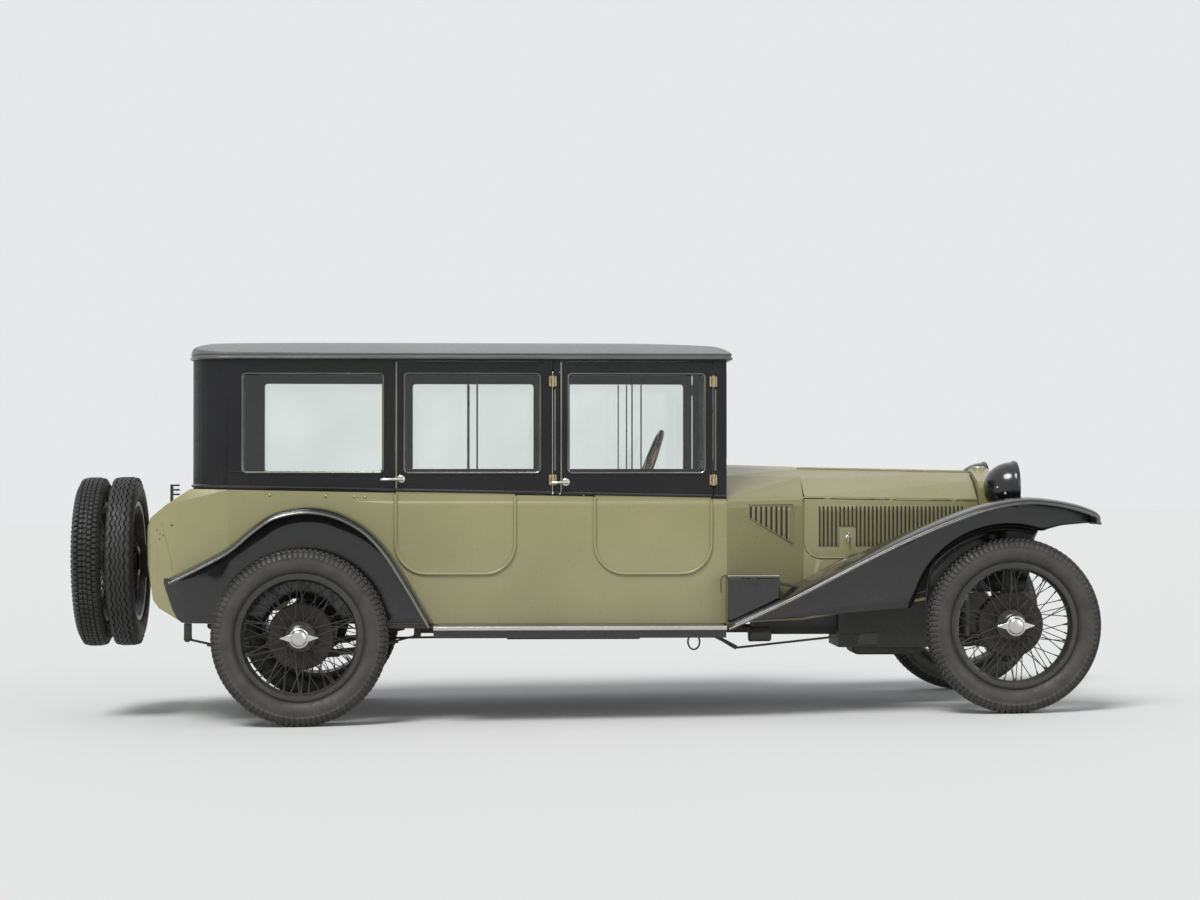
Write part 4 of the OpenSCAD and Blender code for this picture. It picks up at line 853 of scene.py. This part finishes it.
for s, side in SIDES:
    xs = [2.308 + 0.0188 * k for k in range(36)]
    places = [(x, 0.846 if 2.385 < x < 2.462 else 0.757) for x in xs]
    add_louvres(("bonnet_louvres", "bonnet_louvre_painted_shade"), f"bonnet_side_{side}", places, s, side,
                width=0.0112, height=0.0078, gap=0.007, back=0.0001)
    xs = [1.984 + 0.0245 * k for k in range(8)]
    places = [(x, through([(1.961, 0.892), (2.158, 0.785)], x)) for x in xs]
    add_louvres(("scuttle_vent", "scuttle_vent_painted_shade"), "root", places, s, side,
                width=0.014, height=0.009, gap=0.0085, back=0.0005)
    border = [(1.958, 0.892), (1.958, 0.952), (2.166, 0.952), (2.166, 0.778)]
    rim = side_bar(border, s, body_side, 0.0008, 0.0028, closed=True)
    make(f"scuttle_vent_rim_{side}", rim, "khaki_paint")
    x, z = 2.422, 0.8
    y = s * body_side(x)
    catch = Shape().disc((x, y, z), (0, s, 0), 0.014, 0.006)
    catch.tube([(x, y, z), (x, y + s * 0.016, z)], 0.005, 10)
    catch.tube([(x, y + s * 0.016, z - 0.025), (x, y + s * 0.018, z), (x, y + s * 0.016, z + 0.025)],
               [0.0035, 0.006, 0.0035], 10)
    make(f"bonnet_catch_{side}", catch, "nickel", f"bonnet_side_{side}")
    line = [(BONNET_X[0] + 0.001, 0.974), (BONNET_X[0] + 0.001, 0.86)] + arc(
        BONNET_X[0] + 0.076, 0.785, 0.075, 180, 270, 6) + [(2.6, 0.7095), (3.015, 0.7095)]
    edge = side_bar(line, s, body_side, 0.0002, 0.003)
    make(f"bonnet_edge_{side}", edge, "khaki_paint", f"bonnet_side_{side}")

LAMP_R = 0.12
for s, side in SIDES:
    face = Vector((3.17, s * 0.358, 1.023))
    spot = BODY @ turned(face, 90)
    rim = Shape().lathe([(LAMP_R + r, z) for r, z in (
        (-0.006, -0.006), (-0.006, 0.0005), (-0.003, 0.004), (0.001, 0.003), (0.003, -0.003),
        (0.002, -0.012), (0.0008, -0.013), (0.0002, -0.006))], 72, ring=True)
    make(f"headlamp_rim_{side}", rim, "black_paint", place=spot)
    trim = Shape().lathe([(LAMP_R - r, z) for r, z in (
        (0.009, 0.0008), (0.0075, 0.004), (0.005, 0.0045), (0.0045, 0.001))], 72, ring=True)
    make(f"headlamp_trim_{side}", trim, "nickel", place=spot)
    screws = Shape()
    for x, z in ((3.074, 1.026), (3.106, 0.999)):
        reach = sqrt(1 - ((face.x - 0.012 - x) / 0.13) ** 2) * (LAMP_R - 0.003)
        out = sqrt(reach ** 2 - (z - face.z) ** 2) - 0.001
        screws.disc((x, face.y - out, z), (-0.3, -1, 0.1), 0.006, 0.005, 14)
    make(f"headlamp_screws_{side}", screws, "nickel")
cap = Shape().lathe([(0.0, 0.006), (0.022, 0.0055), (0.029, 0.003), (0.031, 0.0), (0.0, 0.0)], 36)
make("radiator_cap", cap, "nickel", place=BODY @ Matrix.Translation((3.0725, 0, 1.1161)))
outline = (arc(-0.185, 0.61, 0.045, 180, 270, 5) + arc(0.185, 0.61, 0.045, 270, 360, 5)
           + [(0.23, 0.985), (0.205, 1.045), (0.0, 1.1), (-0.205, 1.045), (-0.23, 0.985)])
surround = Shape().tube([(3.1165, y, z) for y, z in outline], 0.0045, 8, closed=True)
make("radiator_surround", surround, "nickel")
fins = Shape()
for k in range(-19, 20):
    y = 0.01 * k
    fins.block((3.1005, y - 0.001, 0.602), (3.105, y + 0.001, 1.068 - 0.45 * abs(y)))
for k in range(19):
    z = 0.612 + 0.02 * k
    fins.block((3.1005, -0.194, z - 0.0008), (3.104, 0.194, z + 0.0008))
make("radiator_fins", fins, "radiator_metal", sharp=20)
make("radiator_stay", Shape().tube([(3.116, y, 0.64) for y in (-0.18, 0.0, 0.18)], 0.006, 10), "nickel")

# ---- tail furniture ----
post = Shape().block((-0.588, -0.412, 0.952), (-0.576, -0.388, 1.04))
for z in (0.992, 1.012, 1.032):
    post.block((-0.577, -0.408, z), (-0.548, -0.392, z + 0.008))
make("tail_bracket", post, "black_paint", bevel=0.001)
for s, side in SIDES:
    dots = Shape()
    for x, z, r in ((-0.568, 0.862, 0.0055), (-0.635, 0.84, 0.0028), (-0.622, 0.823, 0.0028),
                    (-0.607, 0.818, 0.0028), (-0.624, 0.801, 0.0028)):
        out = body_side(x) if x > -0.624 else 0.438 + sqrt(0.06 ** 2 - (x + 0.624) ** 2)
        dots.disc((x, s * out, z), (-0.3 if x < -0.624 else 0, s, 0), r, 0.0016, 12)
    make(f"tail_studs_{side}", dots, "black_paint")
    seam = side_bar(((-0.317, 1.097), (-0.25, 1.096), (-0.23, 1.092), (-0.223, 1.075), (-0.221, 1.024)),
                    s, cabin_side, 0.0012, 0.0022)
    make(f"quarter_seam_{side}", seam, "black_leathercloth")
lid_handle = Shape()
for y in (-0.045, 0.045):
    lid_handle.disc((-0.634, y, 0.9205), (-0.64, 0, 0.77), 0.01, 0.005)
lid_handle.tube([(-0.634, -0.045, 0.9205), (-0.648, -0.04, 0.936), (-0.65, 0.0, 0.939),
                 (-0.648, 0.04, 0.936), (-0.634, 0.045, 0.9205)], 0.0055, 10)
make("boot_handle", lid_handle, "nickel", "boot_lid")

# ---- inside ----
DASH_X = 1.795
for k, (y, r) in enumerate(((-0.19, 0.052), (-0.06, 0.04), (0.06, 0.04)), 1):
    spot = BODY @ turned((DASH_X, y, 0.905), -90)
    face = Shape().lathe([(0, 0.003), (r - 0.004, 0.003), (r - 0.004, 0.0005), (0, 0.0005)], 40)
    make(f"dial_{k}", face, "dial_face", place=spot)
    rim = Shape().lathe([(r - 0.005, 0.001), (r - 0.004, 0.006), (r, 0.007), (r + 0.002, 0.001)], 40,
                        ring=True)
    make(f"dial_rim_{k}", rim, "nickel", place=spot)
    needle = Shape().block((-0.0008, 0.0, 0.0035), (0.0008, r * 0.7, 0.0042))
    make(f"dial_needle_{k}", needle, "black_paint", place=spot @ Matrix.Rotation(0.5 + 0.7 * k, 4, "Z"))
COLUMN_RISE = 20.7
HELM = BODY @ turned((1.511, -0.33, 1.082), COLUMN_RISE - 90)
boss = Shape().lathe([(0, 0.017), (0.012, 0.0165), (0.02, 0.013), (0.024, 0.0085), (0, 0.0085)], 32)
for a in (0.6, pi - 0.6):
    boss.tube([(r * cos(a), r * sin(a), z) for r, z in ((0.018, 0.012), (0.085, 0.018))],
              [0.0035, 0.0025], 8)
make("steering_boss", boss, "nickel", "steering_wheel", place=HELM)
knob = Shape().lathe([(0, 0.026), (0.014, 0.023), (0.023, 0.01), (0.023, -0.008), (0.014, -0.02),
                      (0, -0.022)], 24)
make("gear_knob", knob, "black_paint", place=BODY @ Matrix.Translation((1.45, 0.04, 0.862)))

# Seat cushions: (name, lowest corner, highest corner, axis that the padding faces)
CUSHIONS = (("front_seat", (0.935, -0.54, 0.6403), (1.39, 0.54, 0.77), "Z"),
            ("front_seat_back", (0.8, -0.54, 0.6403), (0.925, 0.54, 1.075), "X"),
            ("rear_seat", (-0.2, -0.45, 0.6903), (0.23, 0.45, 0.83), "Z"),
            ("rear_seat_back", (-0.34, -0.45, 0.6903), (-0.21, 0.45, 1.085), "X"))
VOXEL = 0.01
SWELL = 0.024
SIMULATED_FRAMES = 20
SEAM_IN = 0.06      # from a cushion's ends to its border seam
FLUTE = 0.085       # about the width of a fluted channel
SEAM_W = 0.01


def evaluated(obj):
    return bpy.data.meshes.new_from_object(obj.evaluated_get(bpy.context.evaluated_depsgraph_get()))


def padded_mesh(lo, hi):
    """A stuffed form: a smaller block, remeshed and blown up by a cloth simulation."""
    inset = Vector((0.016, 0.016, 0.012))
    shape = Shape().block(lo + inset, hi - inset)
    mesh = bpy.data.meshes.new("padding")
    mesh.from_pydata(shape.points, [], shape.faces)
    pad = new_object("padding", mesh)
    round_off = pad.modifiers.new("round", "BEVEL")
    round_off.width = 0.034
    round_off.segments = 4
    remesh = pad.modifiers.new("remesh", "REMESH")
    remesh.mode = "VOXEL"
    remesh.voxel_size = VOXEL
    start = evaluated(pad)
    pad.modifiers.clear()
    pad.data = start
    rest = [v.co.copy() for v in start.vertices]
    cloth = pad.modifiers.new("cloth", "CLOTH")
    settings = cloth.settings
    settings.quality = 4
    settings.mass = 0.3
    settings.use_pressure = True
    settings.uniform_pressure_force = 4.0
    settings.effector_weights.gravity = 0.0
    cloth.point_cache.frame_start = 1
    cloth.point_cache.frame_end = SIMULATED_FRAMES
    for number in range(1, SIMULATED_FRAMES + 1):
        scene.frame_set(number)
    blown = evaluated(pad)
    for vertex, home, moved in zip(start.vertices, rest, blown.vertices):
        step = moved.co - home
        vertex.co = home + (step if step.length < SWELL else step.normalized() * SWELL)
    scene.frame_set(1)
    bpy.data.objects.remove(pad)
    return start


def sew(mesh, lo, hi, axis):
    """Presses fluted channels and a border seam into the padding, and keeps it in its room."""
    size = hi - lo
    pitch = (size.y - 2 * SEAM_IN) / round((size.y - 2 * SEAM_IN) / FLUTE)
    for vertex in mesh.vertices:
        p = vertex.co
        up = (p.z - lo.z) / size.z if axis == "Z" else (p.x - lo.x) / size.x
        if up > 0.5:
            y = p.y - lo.y - SEAM_IN
            off = abs(y / pitch - round(y / pitch)) * pitch if -0.005 < y < size.y - 0.115 else 1.0
            border = min(abs(y), abs(hi.y - p.y - SEAM_IN))
            run = min(p.x - lo.x, hi.x - p.x) if axis == "Z" else min(p.z - lo.z, hi.z - p.z)
            inside = min(1.0, max(0.0, (run - 0.035) / 0.02))
            dip = 0.011 * inside * exp(-(min(off, border) / SEAM_W) ** 2)
            if axis == "Z":
                p.z -= dip
            else:
                p.x -= dip
        for k in range(3):
            p[k] = min(max(p[k], lo[k]), hi[k] + 0.004)
        vertex.co = p


for name, lo, hi, axis in CUSHIONS:
    lo, hi = Vector(lo), Vector(hi)
    mesh = padded_mesh(lo, hi)
    sew(mesh, lo, hi, axis)
    mesh.transform(BODY)
    mesh.shade_smooth()
    mesh.materials.clear()
    mesh.materials.append(FINISHES["seat_leather"])
    pad = new_object(f"{name}_cushion", mesh)
    pad.modifiers.new("smooth", "SUBSURF").levels = 1
    if name == "front_seat":
        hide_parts("seat_cushions")
    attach(pad, "root")
    # A welt runs round the padded face.
    a, b = lo + Vector((0.004, 0.004, 0.004)), hi - Vector((0.004, 0.004, 0.004))
    if axis == "Z":
        welt = [(x, y, hi.z - 0.022) for x, y in rounded(a.x, b.x, a.y, b.y, 0.03)]
    else:
        welt = [(hi.x - 0.022, y, z) for y, z in rounded(a.y, b.y, a.z, b.z, 0.03)]
    make(f"{name}_welt", Shape().tube(welt, 0.004, 8, closed=True), "seat_leather")

# ---- below ----
rods = Shape()
rods.tube([(1.78, -0.47, 0.362), (1.84, -0.47, 0.33), (1.905, -0.47, 0.292)], [0.009, 0.008, 0.01], 10)
rods.tube([(1.905, -0.47, 0.292), (2.57, -0.44, 0.352)], 0.005, 8)
rods.tube([(0.14, -0.47, 0.36), (1.78, -0.47, 0.362)], 0.005, 8)
rods.lathe([(0.0, -0.05), (0.028, -0.05), (0.033, -0.044), (0.033, 0.044), (0.028, 0.05), (0.0, 0.05)], 28,
           turned((2.01, -0.455, 0.35), 90))
rods.tube([(1.716 + 0.026 * cos(a), -0.48, 0.322 + 0.034 * sin(a))
           for a in (tau * k / 20 for k in range(20))], 0.004, 8, closed=True)
rods.block((2.455, -0.47, 0.3), (2.53, -0.42, 0.345))
rods.block((2.32, -0.466, 0.326), (2.352, -0.446, 0.345))
make("brake_linkage", rods, "chassis_iron", place=GROUND)
sump = Shape().prism(rounded(2.47, 2.8, 0.262, 0.33, 0.03), -0.11, 0.11)
make("engine_sump", sump, "engine_iron", bevel=0.008)

# ---- studio ----
FLOOR = 60
floor_mesh = bpy.data.meshes.new("floor")
floor_mesh.from_pydata([(-FLOOR, -FLOOR, 0), (FLOOR, -FLOOR, 0), (FLOOR, FLOOR, 0), (-FLOOR, FLOOR, 0)],
                       [], [(0, 1, 2, 3)])
floor = new_object("floor", floor_mesh)
pale = bpy.data.materials.new("floor")
pale.use_nodes = True
paint = pale.node_tree.nodes["Principled BSDF"].inputs
paint["Base Color"].default_value = (0.72, 0.72, 0.71, 1)
paint["Roughness"].default_value = 0.8
floor_mesh.materials.append(pale)

world = bpy.data.worlds.new("studio")
world.use_nodes = True
scene.world = world
nodes, links = world.node_tree.nodes, world.node_tree.links
rays = nodes.new("ShaderNodeLightPath")
shown = rays.outputs["Is Camera Ray"]
for kind in ("Is Glossy Ray", "Is Transmission Ray"):
    either = nodes.new("ShaderNodeMath")
    either.operation = "MAXIMUM"
    links.new(shown, either.inputs[0])
    links.new(rays.outputs[kind], either.inputs[1])
    shown = either.outputs[0]
light, backdrop = nodes["Background"], nodes.new("ShaderNodeBackground")
for node, colour, strength in ((light, (0.93, 0.96, 1.0, 1), 0.45), (backdrop, (0.8, 0.81, 0.82, 1), 1.0)):
    node.inputs["Color"].default_value = colour
    node.inputs["Strength"].default_value = strength
mix = nodes.new("ShaderNodeMixShader")
links.new(shown, mix.inputs[0])
links.new(light.outputs[0], mix.inputs[1])
links.new(backdrop.outputs[0], mix.inputs[2])
links.new(mix.outputs[0], nodes["World Output"].inputs[0])

for name, toward, angle, strength in (("key", (0.35, 0.62, -1.0), 24, 2.35),
                                      ("fill", (-0.7, 0.9, -0.35), 45, 0.5)):
    lamp = new_object(name, bpy.data.lights.new(name, "SUN"))
    lamp.data.energy = strength
    lamp.data.angle = radians(angle)
    lamp.rotation_euler = Vector(toward).to_track_quat("-Z", "Y").to_euler()
